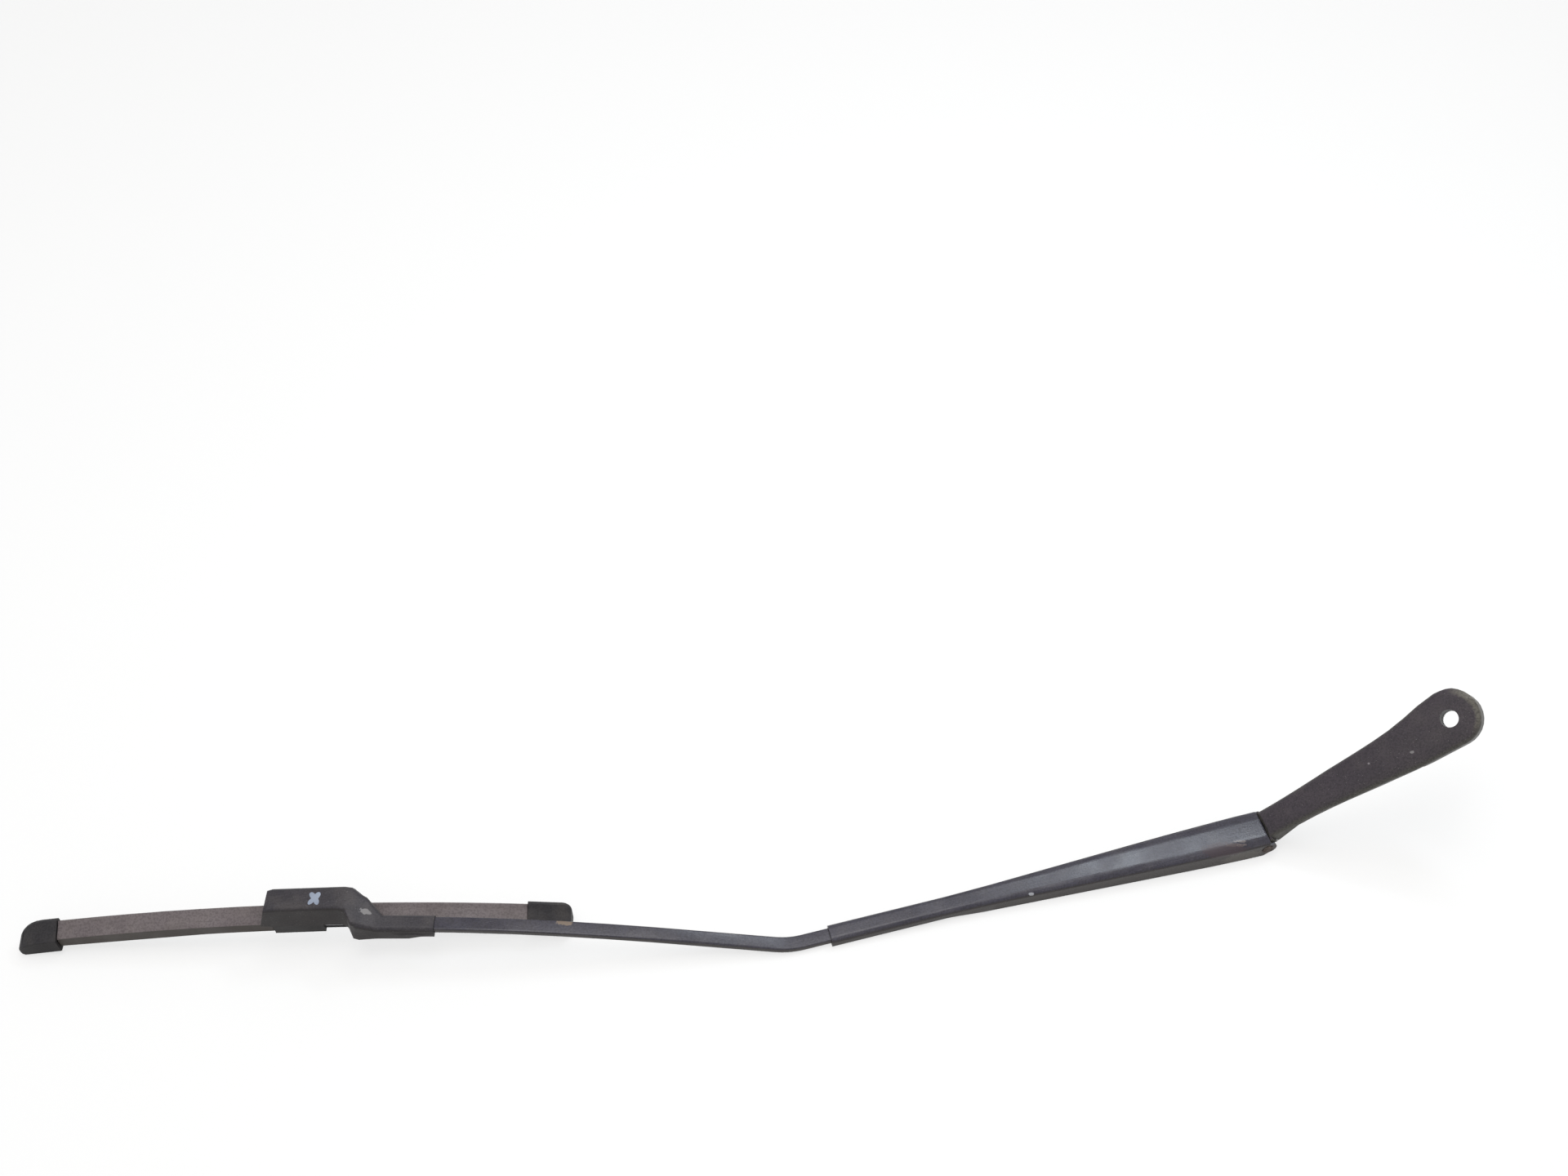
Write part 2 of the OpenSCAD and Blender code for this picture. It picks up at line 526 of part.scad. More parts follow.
// End cap: a moulded shoe, taller than the spoiler, with a large round on its outer top corner.
cap_w = 12.2;
cap_h = 16;
function cap_section(u, corner) = let (
    k = u >= 1 ? 1 : sqrt(max(0, 1 - (1 - u) * (1 - u))),
    top = mix(cap_h - corner * 0.84, cap_h, k),
    far = cap_w / 2 - corner * 0.33 * (1 - k),
    near = -cap_w / 2 - 0.6 + 1.6 * pow(max(0, 1 - 5 * u), 2),
    low = mix(1.2, 0.1, min(1, 5 * u)),
    r = min(2.4, top / 3)
) concat(
    [[near + 0.8, low], [far - 0.8, low], [far, low + 1]], arc([far - r, top - r], r, 0, 90),
    [for (i = [1 : 3]) [mix(far - r, near + 1.2, i / 4), top - 4.4 * k * pow(i / 4, 0.7)]],
    arc([near + 1.2, top - 4.6 * k - 1.2], 1.2, 90, 180, 3), [[near, low + 1]]
);
// Distance of ring number q from the tip: close together on the round, then along the straight part.
function cap_depth(q, corner) = q < 8 ? corner * (1 - cos(q * 90 / 7)) : mix(corner, cap_l, (q - 7) / 2);
module end_cap(s, corner) {
    tip = s * blade_l / 2;
    rings = s < 0 ? [0 : 9] : [9 : -1 : 0];
    color([0.06, 0.06, 0.06]) difference() {
        loft([for (q = rings) let (d = cap_depth(q, corner), x = tip - s * d)
            [for (p = cap_section(d / corner, corner)) [x, p[0], p[1] + bow(x)]]]);
        // Pocket for the ends of spines and rubber, open below and towards the middle of the blade.
        pocket = [[-5.05, 5], [-5.05, 9], [5.05, 9], [5.05, 5], [2.9, 5], [2.9, -3], [-2.9, -3], [-2.9, 5]];
        xs = [for (i = [0 : 3]) mix(tip - s * 1.5, tip - s * (cap_l + 3), s < 0 ? i / 3 : 1 - i / 3)];
        loft([for (x = xs) [for (p = pocket) [x, -p[0], p[1] + bow(x)]]]);
    }
}
module end_cap_outer() end_cap(-1, 14);
module end_cap_inner() end_cap(1, 5);

centred() in_head() head();
centred() in_head() hinge_bushes();
centred() in_head() link_pin();
centred() in_arm() hinge_pin();
centred() in_arm() channel();
centred() rod();
centred() blade_bracket();
centred() in_arm() tension_spring();
centred() in_arm() spring_link();
centred() in_pivot() adaptor();
centred() in_pivot() pivot_pin();
centred() in_pivot() blade_base();
centred() in_blade() spine(-1);  // spine_near
centred() in_blade() spine(1);  // spine_far
centred() in_blade() rail_clips();
centred() in_blade() spoiler_outer();
centred() in_blade() spoiler_inner();
centred() in_blade() wiper_rubber();
centred() in_blade() end_cap_outer();
centred() in_blade() end_cap_inner();
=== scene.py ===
"""Looks of a front wiper arm, folded at its hinge and lying on a pale table with its flat blade.

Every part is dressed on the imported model's own frame, in metres. The solids give the forms. This
script rounds their edges, adds the wound spring and other small forms, and paints each surface.
"""
import json
import logging
import math
from dataclasses import dataclass, field
from enum import Enum
from typing import Callable, Sequence

import bmesh
import bpy
from mathutils import Matrix, Vector
from mathutils.bvhtree import BVHTree


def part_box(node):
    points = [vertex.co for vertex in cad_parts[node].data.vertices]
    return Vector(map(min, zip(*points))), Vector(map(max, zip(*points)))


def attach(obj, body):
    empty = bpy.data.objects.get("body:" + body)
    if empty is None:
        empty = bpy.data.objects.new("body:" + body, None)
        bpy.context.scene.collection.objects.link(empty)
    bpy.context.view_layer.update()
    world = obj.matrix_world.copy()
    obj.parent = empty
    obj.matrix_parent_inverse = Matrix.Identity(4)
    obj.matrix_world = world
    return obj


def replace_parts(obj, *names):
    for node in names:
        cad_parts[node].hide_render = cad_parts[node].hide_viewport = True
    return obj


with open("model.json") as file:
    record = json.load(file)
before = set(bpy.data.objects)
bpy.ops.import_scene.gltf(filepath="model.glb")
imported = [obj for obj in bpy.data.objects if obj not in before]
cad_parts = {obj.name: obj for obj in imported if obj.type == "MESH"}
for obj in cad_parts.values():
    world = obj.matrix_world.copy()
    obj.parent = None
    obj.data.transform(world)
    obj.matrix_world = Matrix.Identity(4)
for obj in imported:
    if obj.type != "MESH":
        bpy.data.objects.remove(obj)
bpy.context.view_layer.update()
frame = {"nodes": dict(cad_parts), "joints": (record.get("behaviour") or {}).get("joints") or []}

LOG = logging.getLogger("wiper_arm")

# One millimetre in the frame's metres, the reach of a weld, and the angles of a flat and a hard edge.
MM = 0.001
WELD = 2e-6
FLAT = math.radians(0.6)
SHARP = math.radians(28)
WEAR_LAYER = "edge_wear"
SKY = Vector((0.0, 0.0, 1.0))

# Kinds of socket.
NUMBER = "NodeSocketFloat"
VECTOR = "NodeSocketVector"

# A band is the pair of levels between which a mask grows from nothing to full.
# A scale counts cells in a metre, or multiplies the scale that a finish gives.
CLOUD_SCALE = 0.05
CLOUD_BAND = (0.32, 0.68)
FLECK_SCALE = 1.3
FLECK_BAND = (0.7, 0.76)
PIT_BAND = (0.44, 0.62)
PATCH_SCALE = 700.0
PATCH_BAND = (1.0, 0.72)
RUB_SCALE = 130.0
RUB_BAND = (0.42, 0.62)
DRIFT_SCALE = 90.0
DRIFT_BAND = (0.38, 0.72)
RESTING_BAND = (0.35, 0.95)
STREAK_STRETCH = Vector((0.035, 1.0, 1.0))
STREAK_BAND = (0.5, 0.75)
RUST_SCALE = 420.0
RIM_SCALE = 420.0
RIM_RAGGED = 3.0 * MM
RIM_BAND = (0.35, 0.85)

Colour = tuple[float, float, float]
Place = tuple[float, float, float]
Ring = list[bmesh.types.BMVert]
Value = float | Colour | Vector | bpy.types.NodeSocket
Sockets = dict[str, bpy.types.NodeSocket]


class Slot(Enum):
    """Finish slots of the record, one for each kind of surface on the arm."""

    HEAD_COAT = "head_coat"
    ARM_COAT = "arm_coat"
    BRACKET_COAT = "bracket_coat"
    WORN_PIN = "worn_pin"
    PLAIN_STEEL = "plain_steel"
    SPRING_STEEL = "spring_steel"
    BUSH_PLASTIC = "bush_plastic"
    BLACK_PLASTIC = "black_plastic"
    CAP_PLASTIC = "cap_plastic"
    AGED_RUBBER = "aged_rubber"
    BLACK_RUBBER = "black_rubber"


class Wiring:
    """Places nodes in one shader tree and links them."""

    def __init__(self, tree: bpy.types.NodeTree) -> None:
        """Start with an empty tree.

        Args:
            tree: The node tree to fill.
        """
        self.tree = tree
        tree.nodes.clear()

    def feed(self, socket: bpy.types.NodeSocket, value: Value) -> None:
        """Link a socket to an output, or set its constant.

        Args:
            socket: The input that takes the value.
            value: An output socket, a number, a colour or a vector.
        """
        if isinstance(value, bpy.types.NodeSocket):
            self.tree.links.new(value, socket)
        elif socket.type == "RGBA":
            socket.default_value = (*value, 1.0)
        else:
            socket.default_value = value

    def place(self, kind: str, inputs: dict[str | int, Value] | None = None,
              **settings: object) -> bpy.types.Node:
        """Add a node.

        Args:
            kind: Blender's name of the node type.
            inputs: Values by input name or number.
            settings: Properties of the node.

        Returns:
            The new node.
        """
        node = self.tree.nodes.new(kind)
        for name, setting in settings.items():
            setattr(node, name, setting)
        for key, value in (inputs or {}).items():
            self.feed(node.inputs[key], value)
        return node

    def math(self, operation: str, *values: Value) -> bpy.types.NodeSocket:
        """Calculate with numbers.

        Args:
            operation: Name of the operation.
            values: Its operands.

        Returns:
            The result's socket.
        """
        return self.place("ShaderNodeMath", dict(enumerate(values)), operation=operation).outputs[0]

    def vector(self, operation: str, *values: Value) -> bpy.types.NodeSocket:
        """Calculate with vectors.

        Args:
            operation: Name of the operation.
            values: Its operands.

        Returns:
            The result's socket, a number for a length or a dot product.
        """
        node = self.place("ShaderNodeVectorMath", dict(enumerate(values)), operation=operation)
        return node.outputs["Value" if operation in ("LENGTH", "DOT_PRODUCT") else "Vector"]

    def step(self, value: Value, low: Value, high: Value) -> bpy.types.NodeSocket:
        """Turn a value into a soft step.

        Args:
            value: What is measured.
            low: Where the step is still 0.
            high: Where it has reached 1.

        Returns:
            The step's socket, from 0 to 1.
        """
        inputs = {0: value, 1: low, 2: high}
        return self.place("ShaderNodeMapRange", inputs, interpolation_type="SMOOTHSTEP").outputs[0]

    def noise(self, where: Value, scale: Value, detail: float = 2.0) -> bpy.types.NodeSocket:
        """Sample noise.

        Args:
            where: The place to sample.
            scale: Cells per metre.
            detail: Number of finer octaves.

        Returns:
            The noise, about 0.5 on average.
        """
        inputs = {"Vector": where, "Scale": scale, "Detail": detail}
        return self.place("ShaderNodeTexNoise", inputs).outputs[0]

    def tint(self, factor: Value, start: Value, end: Value) -> bpy.types.NodeSocket:
        """Mix two colours.

        Args:
            factor: 0 for the start, 1 for the end.
            start: First colour.
            end: Second colour.

        Returns:
            The mixed colour.
        """
        inputs = {0: factor, 6: start, 7: end}
        return self.place("ShaderNodeMix", inputs, data_type="RGBA").outputs[2]

    def level(self, factor: Value, start: Value, end: Value) -> bpy.types.NodeSocket:
        """Mix two numbers.

        Args:
            factor: 0 for the start, 1 for the end.
            start: First number.
            end: Second number.

        Returns:
            The mixed number.
        """
        return self.place("ShaderNodeMix", {0: factor, 2: start, 3: end}, data_type="FLOAT").outputs[0]

    def surface(self) -> bpy.types.NodeSocket:
        """Give the place on the object, which moves with it."""
        return self.place("ShaderNodeTexCoord").outputs["Object"]

    def paint(self, colour: Value, roughness: Value, height: Value, relief: float) -> bpy.types.Node:
        """Place a material's shader with its relief, and lead it to the output.

        Args:
            colour: Base colour.
            roughness: Roughness.
            height: Relief of the surface, from 0 to 1.
            relief: Height of that relief, in millimetres.

        Returns:
            The shader, which still takes what is the same all over.
        """
        bump = self.place("ShaderNodeBump", {"Height": height, "Distance": relief * MM})
        looks = {"Base Color": colour, "Roughness": roughness, "Normal": bump.outputs[0]}
        shader = self.place("ShaderNodeBsdfPrincipled", looks)
        self.place("ShaderNodeOutputMaterial", {"Surface": shader.outputs[0]})
        return shader


@dataclass(frozen=True)
class Effect:
    """A shader node group that several finishes share, built at its first use."""

    name: str
    fill: Callable[[Wiring, bpy.types.NodeOutputs], Sockets]
    takes: dict[str, str]
    gives: tuple[str, ...] = ("Mask",)

    def group(self) -> bpy.types.NodeTree:
        """Build the group, or find it.

        Returns:
            The group's node tree.
        """
        tree = bpy.data.node_groups.get(self.name)
        if tree is not None:
            return tree
        tree = bpy.data.node_groups.new(self.name, "ShaderNodeTree")
        for name, kind in self.takes.items():
            tree.interface.new_socket(name, in_out="INPUT", socket_type=kind)
        for name in self.gives:
            tree.interface.new_socket(name, in_out="OUTPUT", socket_type=NUMBER)
        wiring = Wiring(tree)
        entry = wiring.place("NodeGroupInput")
        leave = wiring.place("NodeGroupOutput")
        for name, socket in self.fill(wiring, entry.outputs).items():
            wiring.feed(leave.inputs[name], socket)
        return tree

    def use(self, wiring: Wiring, **values: Value) -> bpy.types.NodeOutputs:
        """Place the group in a material.

        Args:
            wiring: The material's wiring.
            values: Input values by name, in lower case.

        Returns:
            The group node's outputs.
        """
        node = wiring.place("ShaderNodeGroup", node_tree=self.group())
        for name, value in values.items():
            wiring.feed(node.inputs[name.title()], value)
        return node.outputs


def fill_grain(wiring: Wiring, given: bpy.types.NodeOutputs) -> Sockets:
    """Make the fine grain, slow clouds and scattered specks of a surface.

    Args:
        wiring: The group's wiring.
        given: The values that the group takes.

    Returns:
        What the group gives, by name.
    """
    place = wiring.surface()
    coarse = wiring.math("MULTIPLY", given["Scale"], CLOUD_SCALE)
    dots = wiring.noise(place, wiring.math("MULTIPLY", given["Scale"], FLECK_SCALE), 1.0)
    return {
        "Fine": wiring.noise(place, given["Scale"], 4.0),
        "Cloud": wiring.step(wiring.noise(place, coarse, 3.0), *CLOUD_BAND),
        "Fleck": wiring.step(dots, *FLECK_BAND),
    }


def fill_patch(wiring: Wiring, given: bpy.types.NodeOutputs) -> Sockets:
    """Make the ragged mask of one spot.

    Args:
        wiring: The group's wiring.
        given: The values that the group takes.

    Returns:
        What the group gives, by name.
    """
    place = wiring.surface()
    offset = wiring.vector("DIVIDE", wiring.vector("SUBTRACT", place, given["Centre"]), given["Reach"])
    broken = wiring.math("SUBTRACT", wiring.noise(place, PATCH_SCALE, 3.0), 0.5)
    edge = wiring.math("MULTIPLY_ADD", broken, given["Ragged"], wiring.vector("LENGTH", offset))
    return {"Mask": wiring.step(edge, *PATCH_BAND)}


def fill_edge_wear(wiring: Wiring, given: bpy.types.NodeOutputs) -> Sockets:
    """Break up the rounded edges, where the coat has rubbed thin.

    Args:
        wiring: The group's wiring.
        given: The values that the group takes.

    Returns:
        What the group gives, by name.
    """
    edges = wiring.place("ShaderNodeAttribute", attribute_name=WEAR_LAYER).outputs["Fac"]
    rubbed = wiring.step(wiring.noise(wiring.surface(), RUB_SCALE, 4.0), *RUB_BAND)
    return {"Mask": wiring.math("MULTIPLY", wiring.math("MULTIPLY", edges, rubbed), given["Amount"])}


def fill_upward(wiring: Wiring, given: bpy.types.NodeOutputs) -> Sockets:
    """Tell what faces the sky from the sides.

    Args:
        wiring: The group's wiring.
        given: The values that the group takes.

    Returns:
        What the group gives, by name.
    """
    normal = wiring.place("ShaderNodeTexCoord").outputs["Normal"]
    return {"Mask": wiring.step(wiring.vector("DOT_PRODUCT", normal, SKY), given["Low"], given["High"])}


def fill_dust(wiring: Wiring, given: bpy.types.NodeOutputs) -> Sockets:
    """Settle dust on what faces up.

    Args:
        wiring: The group's wiring.
        given: The values that the group takes.

    Returns:
        What the group gives, by name.
    """
    surface = wiring.place("ShaderNodeTexCoord").outputs
    flat = wiring.step(wiring.vector("DOT_PRODUCT", surface["Normal"], SKY), *RESTING_BAND)
    drift = wiring.step(wiring.noise(surface["Object"], DRIFT_SCALE, 5.0), *DRIFT_BAND)
    return {"Mask": wiring.math("MULTIPLY", wiring.math("MULTIPLY", flat, drift), given["Amount"])}


def fill_streaks(wiring: Wiring, given: bpy.types.NodeOutputs) -> Sockets:
    """Draw long fine marks along a heading.

    Args:
        wiring: The group's wiring.
        given: The values that the group takes.

    Returns:
        What the group gives, by name.
    """
    inputs = {"Vector": wiring.surface(), "Angle": given["Heading"]}
    aligned = wiring.place("ShaderNodeVectorRotate", inputs, rotation_type="Z_AXIS").outputs[0]
    stretched = wiring.vector("MULTIPLY", aligned, STREAK_STRETCH)
    return {"Mask": wiring.step(wiring.noise(stretched, given["Scale"], 2.0), *STREAK_BAND)}


def fill_crescent(wiring: Wiring, given: bpy.types.NodeOutputs) -> Sockets:
    """Mask the part of a round rim that lies towards one side.

    Args:
        wiring: The group's wiring.
        given: The values that the group takes.

    Returns:
        What the group gives, by name.
    """
    place = wiring.surface()
    arm = wiring.vector("SUBTRACT", place, given["Centre"])
    uneven = wiring.math("SUBTRACT", wiring.noise(place, RIM_SCALE, 4.0), 0.5)
    far = wiring.math("MULTIPLY_ADD", uneven, RIM_RAGGED, wiring.vector("LENGTH", arm))
    ring = wiring.step(far, given["Inner"], given["Outer"])
    side = wiring.vector("DOT_PRODUCT", wiring.vector("NORMALIZE", arm), given["Towards"])
    return {"Mask": wiring.math("MULTIPLY", ring, wiring.step(side, *RIM_BAND))}


GRAIN = Effect("surface_grain", fill_grain, {"Scale": NUMBER}, ("Fine", "Cloud", "Fleck"))
PATCH = Effect("ragged_patch", fill_patch, {"Centre": VECTOR, "Reach": VECTOR, "Ragged": NUMBER})
EDGE_WEAR = Effect("edge_wear", fill_edge_wear, {"Amount": NUMBER})
# The facing-sky mask places each finish's painted light and shade on what faces sideways.
UPWARD = Effect("facing_sky", fill_upward, {"Low": NUMBER, "High": NUMBER})
DUST = Effect("settled_dust", fill_dust, {"Amount": NUMBER})
STREAKS = Effect("long_streaks", fill_streaks, {"Heading": NUMBER, "Scale": NUMBER})
CRESCENT = Effect("rim_crescent", fill_crescent,
                  {"Centre": VECTOR, "Towards": VECTOR, "Inner": NUMBER, "Outer": NUMBER})


def blank_material(label: str) -> bpy.types.Material:
    """Start a material whose nodes are still to be placed."""
    made = bpy.data.materials.new(label)
    made.use_nodes = True
    return made


@dataclass(frozen=True)
class Patch:
    """A ragged spot of another tone, its centre and reach in millimetres of the model's frame."""

    centre: Place
    reach: Place
    colour: Colour
    strength: float = 1.0
    ragged: float = 0.9

    def over(self, wiring: Wiring, below: Value) -> bpy.types.NodeSocket:
        """Lay the spot over a colour.

        Args:
            wiring: The material's wiring.
            below: The colour under the spot.

        Returns:
            The colour with the spot.
        """
        centre, reach = (Vector(numbers) * MM for numbers in (self.centre, self.reach))
        mask = PATCH.use(wiring, centre=centre, reach=reach, ragged=self.ragged)["Mask"]
        return wiring.tint(wiring.math("MULTIPLY", mask, self.strength), below, self.colour)


@dataclass(frozen=True)
class Finish:
    """What the finishes share: tones in slow clouds, grain, specks, worn edges and dust.

    The base and cloud tones are on what faces the sky, and the side tone is on the rest, as painted light and
    shade. The deep tone fills the pits of the grain. The relief is in millimetres.
    """

    slot: Slot
    base: Colour
    cloud: Colour
    # Painted light and shade: the tone of what faces sideways, lighter or darker than the top.
    side: Colour
    roughness: float
    swing: float = 0.08
    grain: float = 1000.0
    mottle: float = 0.5
    deep: Colour = (0.012, 0.011, 0.013)
    relief: float = 0.03
    sky_low: float = 0.3
    sky_high: float = 0.85
    fleck: Colour = (0.3, 0.29, 0.28)
    flecked: float = 0.0
    worn: Colour = (0.3, 0.29, 0.28)
    wear: float = 0.0
    dust: Colour = (0.32, 0.28, 0.24)
    dusted: float = 0.0
    metallic: float = 0.0
    specular: float = 0.3
    patches: tuple[Patch, ...] = ()

    def material(self) -> bpy.types.Material:
        """Build the material, or find it.

        Returns:
            The material of this finish.
        """
        label = f"{self.slot.value}_finish"
        if label in bpy.data.materials:
            return bpy.data.materials[label]
        made = blank_material(label)
        wiring = Wiring(made.node_tree)
        grain = GRAIN.use(wiring, scale=self.grain)
        colour, gloss = self.colour(wiring, grain), self.gloss(wiring, grain)
        shader = wiring.paint(colour, gloss, grain["Fine"], self.relief)
        wiring.feed(shader.inputs["Metallic"], self.metallic)
        wiring.feed(shader.inputs["Specular IOR Level"], self.specular)
        return made

    def colour(self, wiring: Wiring, grain: bpy.types.NodeOutputs) -> bpy.types.NodeSocket:
        """Mix the base colour.

        Args:
            wiring: The material's wiring.
            grain: Outputs of the shared grain.

        Returns:
            The colour's socket.
        """
        mixed = self.aged_and_painted_light(wiring, wiring.tint(grain["Cloud"], self.base, self.cloud))
        # Painted light and shade: what faces sideways takes the side tone instead of the top's.
        sky = UPWARD.use(wiring, low=self.sky_low, high=self.sky_high)["Mask"]
        mixed = wiring.tint(sky, self.side, mixed)
        pits = wiring.step(grain["Fine"], *PIT_BAND)
        mixed = wiring.tint(wiring.math("MULTIPLY", pits, self.mottle), mixed, self.deep)
        if self.flecked:
            mixed = wiring.tint(wiring.math("MULTIPLY", grain["Fleck"], self.flecked), mixed, self.fleck)
        if self.dusted:
            mixed = wiring.tint(DUST.use(wiring, amount=self.dusted)["Mask"], mixed, self.dust)
        if self.wear:
            mixed = wiring.tint(EDGE_WEAR.use(wiring, amount=self.wear)["Mask"], mixed, self.worn)
        for patch in self.patches:
            mixed = patch.over(wiring, mixed)
        return mixed

    def aged_and_painted_light(self, wiring: Wiring, mixed: bpy.types.NodeSocket) -> bpy.types.NodeSocket:
        """Leave the tone as it is, where a finish has no ageing and no painted light of its own."""
        return mixed

    def gloss(self, wiring: Wiring, grain: bpy.types.NodeOutputs) -> bpy.types.NodeSocket:
        """Vary the roughness with the clouds."""
        return wiring.level(grain["Cloud"], self.roughness - self.swing, self.roughness + self.swing)


@dataclass(frozen=True)
class CastCoat(Finish):
    """Satin coat on the die-cast head, with a painted highlight in a pale crescent at the end of the boss."""

    rim_centre: Place = (376.6, 37.7, 91.0)
    rim_towards: Place = (0.72, 0.1, 0.69)
    rim_inner: float = 12.4
    rim_outer: float = 14.2
    rim_highlight_colour: Colour = (0.16, 0.15, 0.12)
    rim_highlight_strength: float = 0.75

    def aged_and_painted_light(self, wiring: Wiring, mixed: bpy.types.NodeSocket) -> bpy.types.NodeSocket:
        """Paint a highlight in a pale crescent on the end of the boss.

        Args:
            wiring: The material's wiring.
            mixed: The colour so far.

        Returns:
            The colour with the pale crescent.
        """
        # Painted highlight: the crescent stands for light caught on the end of the boss.
        mask = CRESCENT.use(wiring, centre=Vector(self.rim_centre) * MM, towards=Vector(self.rim_towards),
                            inner=self.rim_inner * MM, outer=self.rim_outer * MM)["Mask"]
        return wiring.tint(wiring.math("MULTIPLY", mask, self.rim_highlight_strength), mixed, self.rim_highlight_colour)


@dataclass(frozen=True)
class StreakedFinish(Finish):
    """A surface with fine marks along the part, whose heading is in degrees."""

    heading: float = 0.0
    streak: Colour = (0.1, 0.1, 0.1)
    streaked: float = 0.35
    streak_scale: float = 1000.0

    def aged_and_painted_light(self, wiring: Wiring, mixed: bpy.types.NodeSocket) -> bpy.types.NodeSocket:
        """Mark the surface lengthwise.

        Args:
            wiring: The material's wiring.
            mixed: The colour so far.

        Returns:
            The colour with the marks.
        """
        mask = STREAKS.use(wiring, heading=math.radians(self.heading), scale=self.streak_scale)["Mask"]
        return wiring.tint(wiring.math("MULTIPLY", mask, self.streaked), mixed, self.streak)


@dataclass(frozen=True)
class SheetCoat(StreakedFinish):
    """Smooth coat on rod and sheet steel, with fine scuffs along the arm."""

    heading: float = -14.4
    streak: Colour = (0.11, 0.105, 0.12)
    streak_scale: float = 1400.0


@dataclass(frozen=True)
class ShadedStreakedRubber(StreakedFinish):
    """Extruded rubber streaked along the extrusion, whose finishes paint shade on what faces sideways."""

    heading: float = -2.3
    streak: Colour = (0.09, 0.076, 0.076)
    streak_scale: float = 900.0


@dataclass(frozen=True)
class RustedSteel(Finish):
    """Bare steel with brown rust in drifts."""

    rust: Colour = (0.12, 0.055, 0.03)
    rust_band: tuple[float, float] = (0.5, 0.62)
    rust_roughness: float = 0.85

    def rusted(self, wiring: Wiring) -> bpy.types.NodeSocket:
        """Mask the rusted parts."""
        return wiring.step(wiring.noise(wiring.surface(), RUST_SCALE, 4.0), *self.rust_band)

    def aged_and_painted_light(self, wiring: Wiring, mixed: bpy.types.NodeSocket) -> bpy.types.NodeSocket:
        """Lay rust over the steel."""
        return wiring.tint(self.rusted(wiring), mixed, self.rust)

    def gloss(self, wiring: Wiring, grain: bpy.types.NodeOutputs) -> bpy.types.NodeSocket:
        """Dull the steel where it has rusted."""
        return wiring.level(self.rusted(wiring), self.roughness, self.rust_roughness)


@dataclass(frozen=True)
class DabPaint:
    """Pale paint of the dab on the hood, darker where it lies thin."""

    thick: Colour = (0.33, 0.38, 0.47)
    thin: Colour = (0.2, 0.235, 0.32)
    grain: float = 1500.0
    roughness: tuple[float, float] = (0.45, 0.65)
    relief: float = 0.04

    def material(self) -> bpy.types.Material:
        """Build the material.

        Returns:
            The paint's material.
        """
        made = blank_material("dab_paint")
        wiring = Wiring(made.node_tree)
        grain = GRAIN.use(wiring, scale=self.grain)
        colour = wiring.tint(grain["Cloud"], self.thick, self.thin)
        wiring.paint(colour, wiring.level(grain["Fine"], *self.roughness), grain["Fine"], self.relief)
        return made


# The tones are linear. A patch lies where the photograph shows a mark.
HEAD_PATCHES = (
    Patch((359.6, 28.2, 73.0), (1.3, 0.8, 1.3), (0.2, 0.19, 0.19)),
    Patch((340.2, 29.7, 59.7), (1.2, 0.6, 0.7), (0.2, 0.18, 0.19)),
)
ARM_PATCHES = (
    Patch((-98.3, -48.2, 23.9), (5.4, 1.5, 2.0), (0.24, 0.18, 0.13), 0.8, 1.3),
    Patch((155.8, -22.7, 9.2), (1.8, 0.9, 1.2), (0.4, 0.41, 0.44), 0.9),
    Patch((272.3, 6.1, 13.1), (6.2, 1.2, 2.0), (0.26, 0.22, 0.2), 0.7, 1.8),
    Patch((276.0, 8.6, 13.1), (4.0, 1.0, 2.0), (0.22, 0.19, 0.18), 0.6, 1.8),
    Patch((266.7, 2.6, 12.8), (15.0, 6.2, 4.0), (0.06, 0.043, 0.05), 0.8, 0.8),
    Patch((277.0, 3.5, 4.5), (16.0, 5.0, 6.0), (0.1, 0.09, 0.075), 0.5, 0.9),
)
BRACKET_PATCHES = (
    # Painted highlight: a pale spot of light on the corner of the jog beside the hood.
    Patch((-203.1, -46.9, 33.9), (5.0, 1.6, 1.8), (0.26, 0.25, 0.25), 0.8, 1.7),
    # A darker thin strip along the hood's near top edge.
    Patch((-219.0, -47.6, 36.8), (13.0, 0.7, 3.0), (0.016, 0.013, 0.012), 0.5, 0.8),
)
